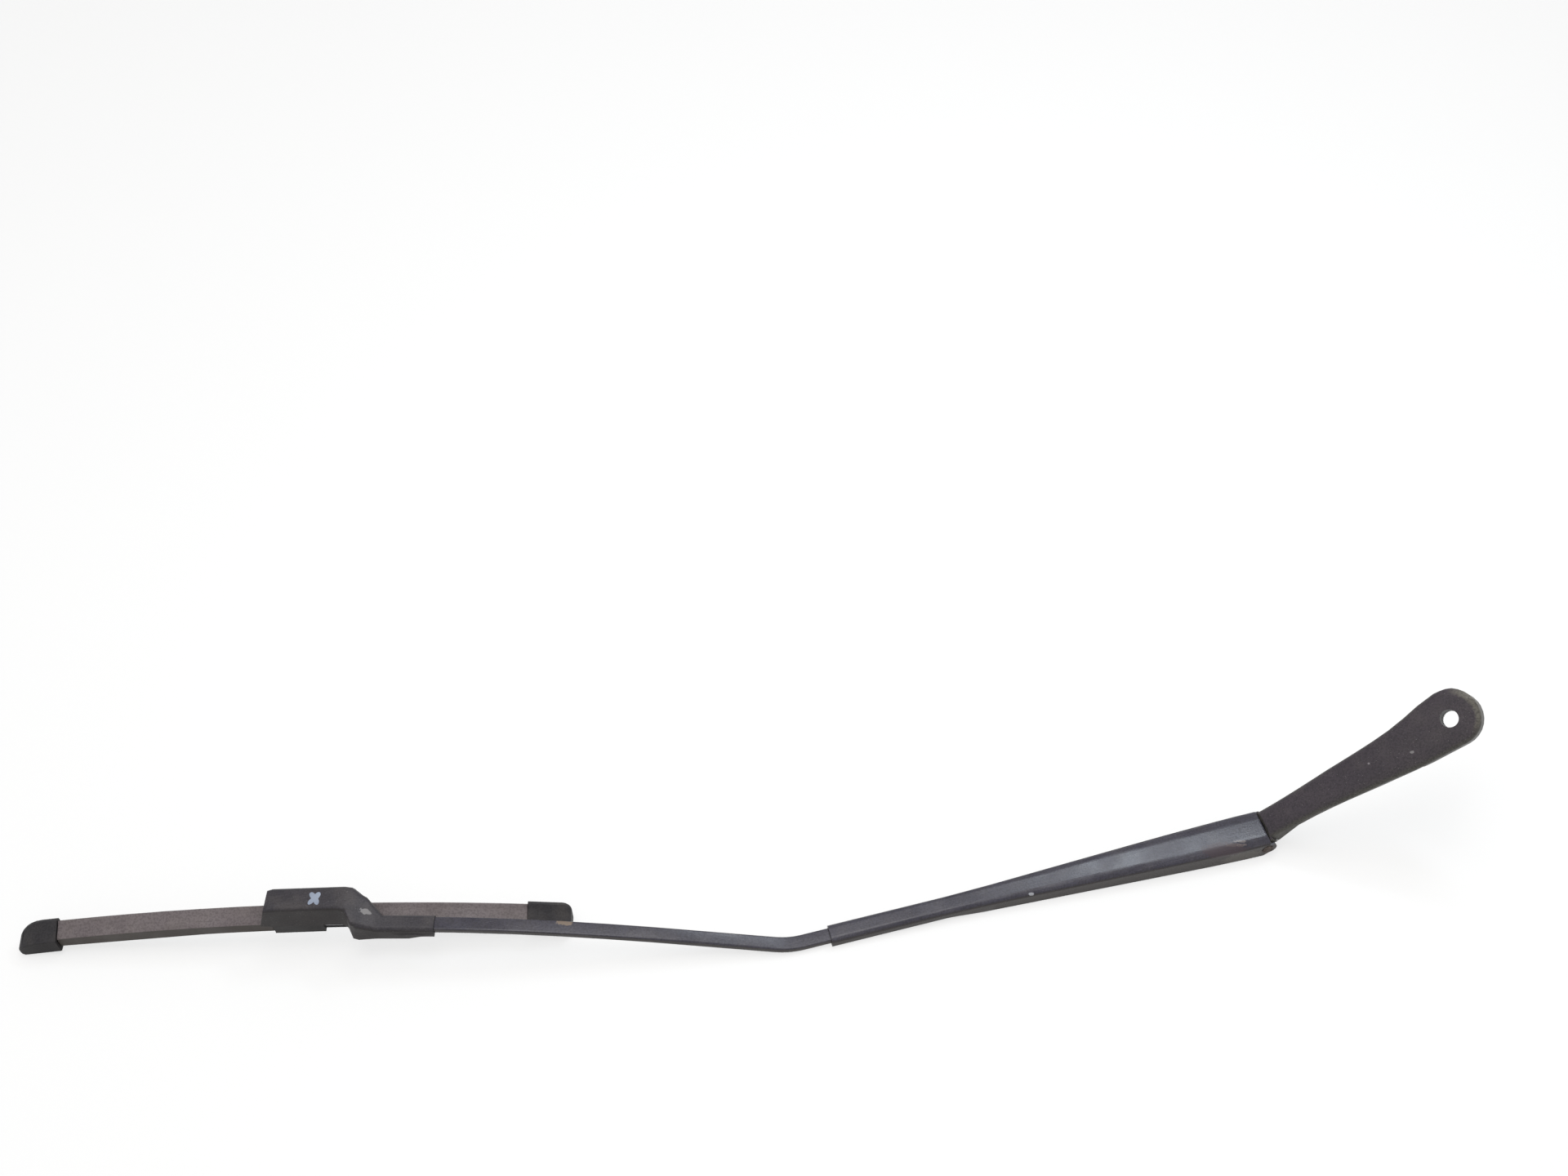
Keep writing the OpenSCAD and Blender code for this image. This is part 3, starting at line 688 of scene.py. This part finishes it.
FINISHES: dict[Slot, Finish] = {finish.slot: finish for finish in (
    # Painted light: the head's side tone is lighter than its top, standing for light thrown up from the
    # table, and its worn edges are partly real wear and partly a painted light band along the lower edge.
    CastCoat(
        Slot.HEAD_COAT, base=(0.036, 0.027, 0.037), cloud=(0.046, 0.036, 0.046), side=(0.07, 0.066, 0.056),
        roughness=0.52, flecked=0.3, worn=(0.15, 0.14, 0.12), wear=0.45, dusted=0.06, relief=0.05,
        patches=HEAD_PATCHES),
    # Painted shade: the side tone of channel and rod is darker and browner than their top.
    SheetCoat(
        Slot.ARM_COAT, base=(0.04, 0.037, 0.053), cloud=(0.05, 0.047, 0.066), side=(0.034, 0.028, 0.027),
        roughness=0.24, swing=0.05, mottle=0.4, flecked=0.15, worn=(0.15, 0.14, 0.14), wear=0.35,
        dusted=0.05, patches=ARM_PATCHES),
    # Painted shade: the bracket's side tone is darker than its top.
    SheetCoat(
        Slot.BRACKET_COAT, base=(0.03, 0.026, 0.033), cloud=(0.041, 0.037, 0.044),
        side=(0.025, 0.021, 0.021), roughness=0.46, flecked=0.25, worn=(0.14, 0.12, 0.11), wear=0.5,
        dusted=0.08, relief=0.045, streaked=0.15, patches=BRACKET_PATCHES),
    RustedSteel(
        Slot.WORN_PIN, base=(0.15, 0.14, 0.13), cloud=(0.1, 0.09, 0.085), side=(0.1, 0.08, 0.07),
        roughness=0.5, metallic=0.4, rust=(0.075, 0.045, 0.03), rust_band=(0.4, 0.56)),
    RustedSteel(
        Slot.PLAIN_STEEL, base=(0.45, 0.45, 0.46), cloud=(0.36, 0.36, 0.37), side=(0.38, 0.38, 0.39),
        roughness=0.38, metallic=0.9, mottle=0.15, worn=(0.6, 0.6, 0.6), wear=0.4, rust_band=(0.62, 0.74)),
    RustedSteel(
        Slot.SPRING_STEEL, base=(0.28, 0.28, 0.29), cloud=(0.2, 0.2, 0.21), side=(0.22, 0.22, 0.23),
        roughness=0.34, metallic=0.9, mottle=0.15, rust_band=(0.6, 0.72)),
    Finish(
        Slot.BUSH_PLASTIC, base=(0.62, 0.6, 0.54), cloud=(0.52, 0.5, 0.44), side=(0.55, 0.53, 0.47),
        roughness=0.5, mottle=0.04, deep=(0.3, 0.28, 0.24)),
    Finish(
        Slot.BLACK_PLASTIC, base=(0.03, 0.029, 0.03), cloud=(0.042, 0.04, 0.041), side=(0.028, 0.026, 0.026),
        roughness=0.55, wear=0.3, dusted=0.12),
    Finish(
        Slot.CAP_PLASTIC, base=(0.022, 0.02, 0.024), cloud=(0.031, 0.029, 0.032), side=(0.019, 0.017, 0.018),
        roughness=0.62, deep=(0.008, 0.007, 0.008), worn=(0.09, 0.085, 0.08), wear=0.35, dusted=0.08,
        relief=0.05),
    # Painted shade: the spoilers' side tone is far darker than their top, and the black rubber's side a
    # little darker.
    ShadedStreakedRubber(
        Slot.AGED_RUBBER, base=(0.19, 0.162, 0.167), cloud=(0.165, 0.139, 0.143), side=(0.05, 0.042, 0.036),
        roughness=0.5, mottle=0.42, deep=(0.06, 0.05, 0.05), dusted=0.1, sky_low=0.25, sky_high=0.7),
    ShadedStreakedRubber(
        Slot.BLACK_RUBBER, base=(0.035, 0.034, 0.034), cloud=(0.045, 0.043, 0.042),
        side=(0.025, 0.024, 0.024), roughness=0.6, streak=(0.02, 0.02, 0.02)),
)}


def dress(piece: bpy.types.Object, body: str, slot: Slot,
          material: bpy.types.Material | None = None) -> bpy.types.Object:
    """Give a piece its material, from its slot's finish unless another is given, and its body.

    Args:
        piece: The object to dress.
        body: The moving body that it belongs to.
        slot: Its slot in the record.
        material: Its material, where that isn't the slot's own finish.

    Returns:
        The same object.
    """
    piece.data.materials.clear()
    piece.data.materials.append(material or FINISHES[slot].material())
    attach(piece, body)
    return piece


def dress_solids(body: str, *solids: tuple[str, float, Slot]) -> list[bpy.types.Object]:
    """Round and dress the solids of one body.

    Args:
        body: The moving body that they belong to.
        solids: Each solid's name, the reach of its rounds in millimetres, and its slot.

    Returns:
        The dressed pieces.
    """
    return [dress(rounded(node, edge), body, slot) for node, edge, slot in solids]


def as_object(name: str, shape: bmesh.types.BMesh) -> bpy.types.Object:
    """Turn a mesh under construction into an object.

    Args:
        name: The object's name.
        shape: The mesh, which is freed.

    Returns:
        The new object, smooth, with its hard edges marked.
    """
    bmesh.ops.recalc_face_normals(shape, faces=shape.faces[:])
    for face in shape.faces:
        face.smooth = True
    for edge in shape.edges:
        edge.smooth = edge.calc_face_angle(math.pi) < SHARP
    mesh = bpy.data.meshes.new(name)
    shape.to_mesh(mesh)
    shape.free()
    made = bpy.data.objects.new(name, mesh)
    bpy.context.scene.collection.objects.link(made)
    return made


def rounded(node: str, radius: float, segments: int = 2) -> bpy.types.Object:
    """Copy a solid and round its outer edges.

    Args:
        node: The solid's name.
        radius: How far a round reaches from the edge, in millimetres.
        segments: Faces across a round.

    Returns:
        The object that stands for the solid, with its rounds marked for wear.
    """
    shape = bmesh.new()
    shape.from_mesh(frame["nodes"][node].data)
    bmesh.ops.remove_doubles(shape, verts=shape.verts[:], dist=WELD)
    bmesh.ops.dissolve_limit(shape, angle_limit=FLAT, verts=shape.verts[:], edges=shape.edges[:])
    layer = shape.loops.layers.float.new(WEAR_LAYER)
    edges = [edge for edge in shape.edges
             if len(edge.link_faces) == 2 and edge.is_convex and edge.calc_face_angle(0.0) > SHARP]
    if radius > 0 and edges:
        made = bmesh.ops.bevel(
            shape, geom=edges, offset=radius * MM, offset_type="OFFSET", segments=segments,
            profile=0.6, affect="EDGES", clamp_overlap=True)
        for face in made["faces"]:
            for loop in face.loops:
                loop[layer] = 1.0
    piece = as_object(f"{node}_finished", shape)
    evened = piece.modifiers.new("even_shading", "WEIGHTED_NORMAL")
    evened.keep_sharp = True
    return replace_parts(piece, node)


def skinned(name: str, shape: bmesh.types.BMesh, rings: Sequence[Ring],
            looped: bool = False) -> bpy.types.Object:
    """Skin a row of rings, and close it at both ends.

    Args:
        name: The object's name.
        shape: The mesh that holds the rings' points.
        rings: Rings of equal length, or single points for poles.
        looped: Whether the last ring joins the first one.

    Returns:
        The closed form as an object.
    """
    pairs = list(zip(rings, rings[1:]))
    ends = [rings[0], rings[-1]]
    if looped:
        pairs.append((rings[-1], rings[0]))
        ends = []
    for first, second in pairs:
        count = max(len(first), len(second))
        for corner in range(count):
            beside = (corner + 1) % count
            corners = (first[corner % len(first)], first[beside % len(first)],
                       second[beside % len(second)], second[corner % len(second)])
            shape.faces.new(list(dict.fromkeys(corners)))
    for end in ends:
        if len(end) > 1:
            shape.faces.new(end)
    return as_object(name, shape)


def spread(count: int) -> list[float]:
    """Spread angles evenly over a full turn, in radians."""
    return [math.tau * index / count for index in range(count)]


def sweep(name: str, route: Sequence[Vector], radius: float, sides: int = 10) -> bpy.types.Object:
    """Run a round wire along a route.

    Args:
        name: The object's name.
        route: Points of the wire's centre line, in metres.
        radius: The wire's radius, in metres.
        sides: Faces round the wire.

    Returns:
        The closed wire as an object.
    """
    shape = bmesh.new()
    rings: list[Ring] = []
    across = Vector((0.0, 1.0, 0.0))
    for index, point in enumerate(route):
        before = route[max(index - 1, 0)]
        after = route[min(index + 1, len(route) - 1)]
        along = (after - before).normalized()
        across = (across - along * across.dot(along)).normalized()
        up = along.cross(across)
        spots = [point + radius * (across * math.cos(turn) + up * math.sin(turn)) for turn in spread(sides)]
        rings.append([shape.verts.new(spot) for spot in spots])
    return skinned(name, shape, rings)


def turned(name: str, profile: Sequence[tuple[float, float]], axis: Matrix,
           sides: int = 48) -> bpy.types.Object:
    """Turn a profile about an axis.

    Args:
        name: The object's name.
        profile: Radius and height of each point in millimetres, from the bottom pole to the top pole.
        axis: Places the turned form, whose axis is its own z axis.
        sides: Faces round the axis.

    Returns:
        The turned object.
    """
    shape = bmesh.new()
    rings: list[Ring] = []
    for radius, height in profile:
        turns = spread(sides) if radius > 0 else [0.0]
        spots = [Vector((radius * math.cos(turn), radius * math.sin(turn), height)) * MM for turn in turns]
        rings.append([shape.verts.new(axis @ spot) for spot in spots])
    return skinned(name, shape, rings)


def mix(start: float, end: float, share: float) -> float:
    """Go a share of the way from one number to another."""
    return start + (end - start) * share


def fold_joint() -> dict:
    """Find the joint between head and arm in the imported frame."""
    return next(joint for joint in frame["joints"] if joint["name"] == "arm_fold")


@dataclass
class Hinge:
    """The fold between head and arm, and the frames that stand on it, with their tilts in degrees."""

    slope: float = 1.606
    lift: float = 40.0
    joint: dict = field(default_factory=fold_joint)

    def standing(self, tilt: float) -> Matrix:
        """Give a frame at the hinge pin: x along the part, y along the pin.

        Args:
            tilt: How far x points up, in degrees.

        Returns:
            The frame's placement.
        """
        pin = self.joint["axis"]
        heading = math.atan2(-pin[0], pin[1])
        turn = Matrix.Rotation(heading, 4, "Z") @ Matrix.Rotation(-math.radians(tilt), 4, "Y")
        return Matrix.Translation(Vector(self.joint["pos_m"])) @ turn

    def arm(self) -> Matrix:
        """Give the frame of the channel."""
        return self.standing(self.slope)

    def head(self) -> Matrix:
        """Give the frame of the head."""
        return self.standing(self.lift)


@dataclass
class SpindleHead:
    """Die-cast head with its bushes, link pin and the serrated mouth of the spindle bore.

    Sizes here and in the other sub-assemblies are in millimetres, and angles in degrees.
    """

    hinge: Hinge
    edge: float = 0.45
    bush_edge: float = 0.15
    reach: float = 122.4
    veer: float = -1.5
    shift: float = 0.7
    plate: float = 7.0
    twist: float = 17.0
    boss_h: float = 13.5
    bore_r: float = 4.8
    mouth_r: float = 5.4
    mouth_inset: float = 0.3
    serrated: float = 6.2
    teeth: int = 36
    tooth_depth: float = 0.32
    tooth_crest: float = 0.02
    bury: float = 0.1

    def build(self) -> list[bpy.types.Object]:
        """Make and dress the head's pieces.

        Returns:
            The dressed pieces.
        """
        pieces = dress_solids(
            "head",
            ("head", self.edge, Slot.HEAD_COAT),
            ("hinge_bushes", self.bush_edge, Slot.BUSH_PLASTIC),
            ("link_pin", self.bush_edge, Slot.PLAIN_STEEL))
        return pieces + [dress(self.serrations(), "head", Slot.HEAD_COAT)]

    def serrations(self) -> bpy.types.Object:
        """Cut the fine teeth that bite on the tapered spindle.

        Returns:
            A toothed sleeve that lines the mouth of the bore.
        """
        sideways = self.reach * math.tan(math.radians(self.veer)) + self.shift
        boss = (self.hinge.head() @ Matrix.Translation(Vector((self.reach, sideways, self.plate)) * MM)
                @ Matrix.Rotation(math.radians(self.twist), 4, "X"))
        mouth = (self.mouth_r, self.mouth_inset - self.boss_h)
        throat = (self.bore_r + self.bury, self.serrated - self.boss_h)
        buried = [self.bury] * 2 * self.teeth
        toothed = [-self.tooth_crest, -self.tooth_depth] * self.teeth
        shape = bmesh.new()
        rings: list[Ring] = []
        for (wall, height), proud in ((mouth, buried), (throat, buried), (throat, toothed), (mouth, toothed)):
            ring = []
            for turn, out in zip(spread(2 * self.teeth), proud):
                spot = Vector(((wall + out) * math.cos(turn), (wall + out) * math.sin(turn), height))
                ring.append(shape.verts.new(boss @ (spot * MM)))
            rings.append(ring)
        return skinned("spindle_serrations", shape, rings, looped=True)


@dataclass
class SpringLinkage:
    """Close-wound tension spring with its two hooks, and the link that it pulls on."""

    hinge: Hinge
    wire_r: float = 0.9
    coil_r: float = 2.7
    turns: int = 44
    steps: int = 20
    run_in: float = 0.8
    rod_end: float = -105.0
    coil_gap: float = 4.0
    coil_z: float = 1.3
    hook_gap: float = 0.7
    hook_r: float = 2.1
    hook_z: float = 2.48
    hook_arc: tuple[int, int] = (84, 325)
    lead: float = 0.5
    eye_r: float = 3.6
    eye_z: float = 1.7
    eye_arc: tuple[int, int] = (180, 511)
    bend_step: int = 12
    link_end: float = -13.4
    link_edge: float = 0.2

    def bend(self, arc: tuple[int, int]) -> list[float]:
        """Divide an arc of wire into angles, in radians."""
        return [math.radians(angle) for angle in range(*arc, self.bend_step)]

    def coils(self) -> list[Vector]:
        """Wind the close coils, whose first and last turns run in from the spring's own axis.

        Returns:
            Points of the wire's centre line in the channel's frame, in millimetres.
        """
        start = self.rod_end + self.coil_gap
        end = start + self.turns * 2 * self.wire_r
        total = self.turns * self.steps
        points = []
        for step in range(total + 1):
            grown = min(1.0, step / (self.run_in * self.steps), (total - step) / (self.run_in * self.steps))
            radius = self.coil_r * math.sin(grown * math.pi / 2)
            turn = math.tau * step / self.steps
            points.append(Vector((mix(start, end, step / total), radius * math.sin(turn),
                                  self.coil_z + radius * math.cos(turn))))
        return points

    def route(self) -> list[Vector]:
        """Follow the wire from the hook at the rod to the eye at the link.

        Returns:
            Points of the wire's centre line in the channel's frame, in millimetres.
        """
        hook_x = self.rod_end - self.hook_gap
        eye_x = self.link_end - self.eye_r
        hook = [Vector((hook_x + self.hook_r * math.cos(turn), 0.0,
                        self.hook_z + self.hook_r * math.sin(turn)))
                for turn in self.bend(self.hook_arc)]
        lead = Vector((hook_x + self.hook_r + self.lead, 0.0, self.coil_z))
        eye = [Vector((eye_x + self.eye_r * math.cos(turn), self.eye_r * math.sin(turn), self.eye_z))
               for turn in self.bend(self.eye_arc)]
        return hook + [lead] + self.coils() + eye

    def build(self) -> list[bpy.types.Object]:
        """Make and dress the spring and the link.

        Returns:
            The dressed pieces.
        """
        placed = [self.hinge.arm() @ (point * MM) for point in self.route()]
        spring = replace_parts(sweep("wound_spring", placed, self.wire_r * MM), "tension_spring")
        return [dress(spring, "spring", Slot.SPRING_STEEL),
                *dress_solids("link", ("spring_link", self.link_edge, Slot.PLAIN_STEEL))]


@dataclass
class ArmTube:
    """Folded channel with its headed pin, and the flat rod crimped into it."""

    hinge: Hinge
    sheet_edge: float = 0.22
    rod_edge: float = 0.3
    pin_r: float = 2.5
    head_r: float = 3.3
    outside: float = 11.2
    head_h: float = 0.8

    def build(self) -> list[bpy.types.Object]:
        """Make and dress the arm's long pieces.

        Returns:
            The dressed pieces.
        """
        pieces = dress_solids("arm", ("channel", self.sheet_edge, Slot.ARM_COAT),
                              ("rod", self.rod_edge, Slot.ARM_COAT))
        return pieces + [dress(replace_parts(self.peened_pin(), "hinge_pin"), "arm", Slot.WORN_PIN)]

    def peened_pin(self) -> bpy.types.Object:
        """Turn the hinge pin, its ends hammered over into low domes with a dimple.

        Returns:
            The pin as an object.
        """
        seat = self.outside
        crown = self.outside + self.head_h
        half = [(0.0, crown - 0.25), (0.7, crown - 0.2), (1.3, crown), (self.head_r - 0.9, crown - 0.08),
                (self.head_r - 0.25, crown - 0.35), (self.head_r, seat + 0.25), (self.head_r, seat),
                (self.pin_r, seat)]
        profile = [(radius, -height) for radius, height in half] + half[::-1]
        axis = self.hinge.arm() @ Matrix.Rotation(math.radians(-90), 4, "X")
        return turned("peened_hinge_pin", profile, axis)


@dataclass
class BladeHolder:
    """Pressed bracket with its sleeve tab and paint dab, and the moulded adaptor inside it.

    The dab and the tab follow the bracket's skin, found from well above it and from well before it.
    """

    edge: float = 0.3
    adaptor_edge: float = 0.25
    dab_centre: tuple[float, float] = (-230.1, -41.4)
    dab_reach: tuple[float, float] = (3.8, 4.8)
    dab_thickness: float = 0.12
    dab_buried: float = 0.4
    dab_waist: float = 0.5
    dab_ripple: float = 0.05
    dab_thinning: float = 0.6
    dab_rings: int = 5
    dab_spokes: int = 48
    tab_x: tuple[float, float] = (-189.0, -167.4)
    tab_z: tuple[float, float] = (23.5, 26.0)
    tab_steps: int = 8
    tab_proud: float = 0.4
    tab_buried: float = 0.3
    tab_lip: float = 0.1
    tab_start: float = 0.12
    wall_z: float = 27.0
    above: float = 80.0
    before: float = -90.0

    def build(self) -> list[bpy.types.Object]:
        """Make and dress the bracket, what is on it and the adaptor.

        Returns:
            The dressed pieces.
        """
        pieces = dress_solids("arm", ("blade_bracket", self.edge, Slot.BRACKET_COAT),
                              ("adaptor", self.adaptor_edge, Slot.BLACK_PLASTIC))
        bracket = BVHTree.FromObject(pieces[0], bpy.context.evaluated_depsgraph_get())
        pieces.append(dress(self.paint_dab(bracket), "arm", Slot.BRACKET_COAT, DabPaint().material()))
        pieces.append(dress(self.sleeve_tab(bracket), "arm", Slot.BRACKET_COAT))
        return pieces

    def on_dab(self, bracket: BVHTree, share: float, turn: float, side: float) -> Vector:
        """Find a point of the dab, which follows the hood below it.

        Args:
            bracket: The bracket.
            share: How far out the point is, from 0 to 1.
            turn: Its direction from the dab's centre, in radians.
            side: 1 for the top of the paint, or minus the share of it that is buried.

        Returns:
            The point, in metres.
        """
        lobe = mix(self.dab_waist, 1.0, abs(math.sin(2 * turn)) ** 1.6)
        lobe += self.dab_ripple * math.sin(5 * turn + 1)
        x = self.dab_centre[0] + self.dab_reach[0] * lobe * share * math.cos(turn)
        y = self.dab_centre[1] + self.dab_reach[1] * lobe * share * math.sin(turn)
        spot, normal, _, _ = bracket.ray_cast(Vector((x, y, self.above)) * MM, -SKY)
        thinned = 1.0 - self.dab_thinning * share ** 3 if side > 0 else 1.0
        return spot + normal * (side * thinned * self.dab_thickness * MM)

    def paint_dab(self, bracket: BVHTree) -> bpy.types.Object:
        """Lay a thin dab of pale paint with four lobes on the hood.

        Args:
            bracket: The bracket.

        Returns:
            The dab as an object.
        """
        shape = bmesh.new()
        layers: list[list[Ring]] = []
        for side in (1.0, -self.dab_buried):
            rings: list[Ring] = []
            for ring in range(self.dab_rings + 1):
                turns = spread(self.dab_spokes) if ring else [0.0]
                share = ring / self.dab_rings
                rings.append([shape.verts.new(self.on_dab(bracket, share, turn, side)) for turn in turns])
            layers.append(rings)
        top, bottom = layers
        return skinned("paint_dab", shape, top + bottom[::-1])

    def sleeve_tab(self, bracket: BVHTree) -> bpy.types.Object:
        """Fold the lip that stands proud along the near side of the sleeve.

        Args:
            bracket: The bracket.

        Returns:
            The lip as an object.
        """
        shape = bmesh.new()
        low, high = self.tab_z
        rings: list[Ring] = []
        for step in range(self.tab_steps + 1):
            x = mix(*self.tab_x, step / self.tab_steps)
            inward = 2 * min(step, self.tab_steps - step) / self.tab_steps
            proud = self.tab_proud * math.sin(math.pi / 2 * mix(self.tab_start, 1.0, inward))
            wall, _, _, _ = bracket.ray_cast(Vector((x, self.before, self.wall_z)) * MM,
                                             Vector((0.0, 1.0, 0.0)))
            outline = ((-self.tab_buried, low), (proud, low), (proud, high - self.tab_proud),
                       (self.tab_lip, high), (-self.tab_buried, high))
            rings.append([shape.verts.new(Vector((x * MM, wall.y - out * MM, z * MM))) for out, z in outline])
        return skinned("sleeve_tab", shape, rings)


@dataclass
class FlatBlade:
    """Beam blade: spines, rubber and spoiler on a riveted base, with moulded caps on its ends."""

    spine_edge: float = 0.12
    spoiler_edge: float = 0.25
    cap_edge: float = 0.5
    base_edge: float = 0.25
    unrounded: float = 0.0
    tip_depth: float = 3.4
    tip_inset: float = 0.05

    def build(self) -> list[bpy.types.Object]:
        """Make and dress the blade's pieces.

        Returns:
            The dressed pieces.
        """
        pieces = dress_solids(
            "blade",
            ("spoiler_outer", self.spoiler_edge, Slot.AGED_RUBBER),
            ("spoiler_inner", self.spoiler_edge, Slot.AGED_RUBBER),
            ("end_cap_outer", self.cap_edge, Slot.CAP_PLASTIC),
            ("end_cap_inner", self.cap_edge, Slot.CAP_PLASTIC),
            ("spine_near", self.spine_edge, Slot.SPRING_STEEL),
            ("spine_far", self.spine_edge, Slot.SPRING_STEEL),
            ("wiper_rubber", self.unrounded, Slot.BLACK_RUBBER),
            ("blade_base", self.base_edge, Slot.BLACK_PLASTIC),
            ("rail_clips", self.unrounded, Slot.PLAIN_STEEL),
            ("pivot_pin", self.base_edge, Slot.PLAIN_STEEL))
        return pieces + [dress(self.tip_core(), "blade", Slot.CAP_PLASTIC)]

    def tip_core(self) -> bpy.types.Object:
        """Fill the thin tip of the outer cap, where its pocket comes close to the skin.

        Returns:
            The solid core of the tip, just below the cap's surface.
        """
        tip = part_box("end_cap_outer")[0].x
        corners = [vertex.co.copy() for vertex in frame["nodes"]["end_cap_outer"].data.vertices
                   if vertex.co.x < tip + self.tip_depth * MM]
        middle = sum(corners, Vector()) / len(corners)
        shape = bmesh.new()
        for corner in corners:
            outward = corner - middle
            shape.verts.new(middle + outward * (1.0 - self.tip_inset * MM / outward.length))
        hull = bmesh.ops.convex_hull(shape, input=shape.verts[:])
        inside = [item for item in hull["geom_interior"] if isinstance(item, bmesh.types.BMVert)]
        bmesh.ops.delete(shape, geom=inside, context="VERTS")
        bmesh.ops.remove_doubles(shape, verts=shape.verts[:], dist=WELD)
        return as_object("cap_tip_core", shape)


@dataclass(frozen=True)
class Softbox:
    """A rectangular light that faces the middle of the arm, in metres and watts."""

    name: str
    at: Place
    power: float
    size: tuple[float, float]
    tint: Colour
    aim: Place = (0.1, 0.0, 0.0)

    def hang(self) -> None:
        """Hang the light in the scene, out of the camera's sight."""
        lamp = bpy.data.lights.new(self.name, "AREA")
        lamp.shape = "RECTANGLE"
        lamp.size, lamp.size_y = self.size
        lamp.energy = self.power
        lamp.color = self.tint
        hung = bpy.data.objects.new(self.name, lamp)
        hung.location = self.at
        hung.rotation_euler = (Vector(self.aim) - Vector(self.at)).to_track_quat("-Z", "Y").to_euler()
        hung.visible_camera = False
        bpy.context.scene.collection.objects.link(hung)


@dataclass
class Studio:
    """Pale table, even room light, one overhead and one cool rear softbox, and the camera."""

    camera_at: Place = (0.01924, -0.47266, 0.80834)
    camera_pitch: float = 40.0
    lens: float = 37.5
    overhead: Softbox = Softbox("overhead", (-0.05, 0.08, 1.35), 8.0, (1.1, 0.5), (1.0, 0.985, 0.97))
    rear: Softbox = Softbox("rear", (0.45, 0.54, 1.02), 2.6, (0.42, 0.14), (0.84, 0.92, 1.0))
    room: float = 0.5
    floor_side: float = 30.0
    floor_tone: Colour = (0.9, 0.895, 0.89)
    floor_roughness: float = 0.8
    lift: float = 0.16
    clearness: float = 0.65

    def build(self) -> None:
        """Set the camera, the lights, the world and the table."""
        bpy.context.scene.view_settings.view_transform = "Standard"
        self.stand_camera()
        self.overhead.hang()
        self.rear.hang()
        self.light_room()
        self.lay_table()

    def stand_camera(self) -> None:
        """Stand the camera where the photograph was taken from."""
        lens = bpy.data.cameras.new("camera")
        lens.lens = self.lens
        camera = bpy.data.objects.new("camera", lens)
        camera.location = self.camera_at
        camera.rotation_euler = (math.radians(self.camera_pitch), 0.0, 0.0)
        bpy.context.scene.collection.objects.link(camera)
        bpy.context.scene.camera = camera

    def seen(self, wiring: Wiring) -> bpy.types.NodeSocket:
        """Tell camera, mirror and glass rays from the rest.

        Args:
            wiring: The material's or the world's wiring.

        Returns:
            1 for those rays, else 0.
        """
        rays = wiring.place("ShaderNodeLightPath").outputs
        shiny = wiring.math("MAXIMUM", rays["Is Glossy Ray"], rays["Is Transmission Ray"])
        return wiring.math("MAXIMUM", rays["Is Camera Ray"], shiny)

    def light_room(self) -> None:
        """Light the room evenly, and show it white."""
        world = bpy.data.worlds.new("room")
        bpy.context.scene.world = world
        world.use_nodes = True
        wiring = Wiring(world.node_tree)
        even = (self.room, self.room, self.room)
        tone = wiring.tint(self.seen(wiring), even, (1.0, 1.0, 1.0))
        light = wiring.place("ShaderNodeBackground", {"Color": tone})
        wiring.place("ShaderNodeOutputWorld", {"Surface": light.outputs[0]})

    def lay_table(self) -> None:
        """Lay the pale table, milky from above and clear from below, which keeps the soft shadows."""
        shape = bmesh.new()
        bmesh.ops.create_grid(shape, x_segments=1, y_segments=1, size=self.floor_side / 2)
        table = as_object("table", shape)
        made = blank_material("table")
        wiring = Wiring(made.node_tree)
        glow = wiring.tint(self.seen(wiring), (0.0, 0.0, 0.0), (self.lift, self.lift, self.lift))
        looks = {"Base Color": self.floor_tone, "Roughness": self.floor_roughness,
                 "Emission Color": glow, "Emission Strength": 1.0}
        milky = wiring.place("ShaderNodeBsdfPrincipled", looks)
        below = wiring.place("ShaderNodeNewGeometry").outputs["Backfacing"]
        direct = wiring.place("ShaderNodeLightPath").outputs["Is Camera Ray"]
        share = wiring.math("MULTIPLY", direct, wiring.math("MAXIMUM", below, self.clearness))
        clear = wiring.place("ShaderNodeBsdfTransparent")
        laid = wiring.place("ShaderNodeMixShader", {0: share, 1: milky.outputs[0], 2: clear.outputs[0]})
        wiring.place("ShaderNodeOutputMaterial", {"Surface": laid.outputs[0]})
        table.data.materials.append(made)


def main() -> None:
    """Build the studio and each sub-assembly in order, and report each piece."""
    logging.basicConfig(level=logging.INFO, format="%(name)s: %(message)s")
    Studio().build()
    hinge = Hinge()
    for assembly in (SpindleHead(hinge), ArmTube(hinge), SpringLinkage(hinge), BladeHolder(), FlatBlade()):
        for piece in assembly.build():
            LOG.info("%s: %d faces", piece.name, len(piece.data.polygons))


if __name__ == "__main__":
    main()
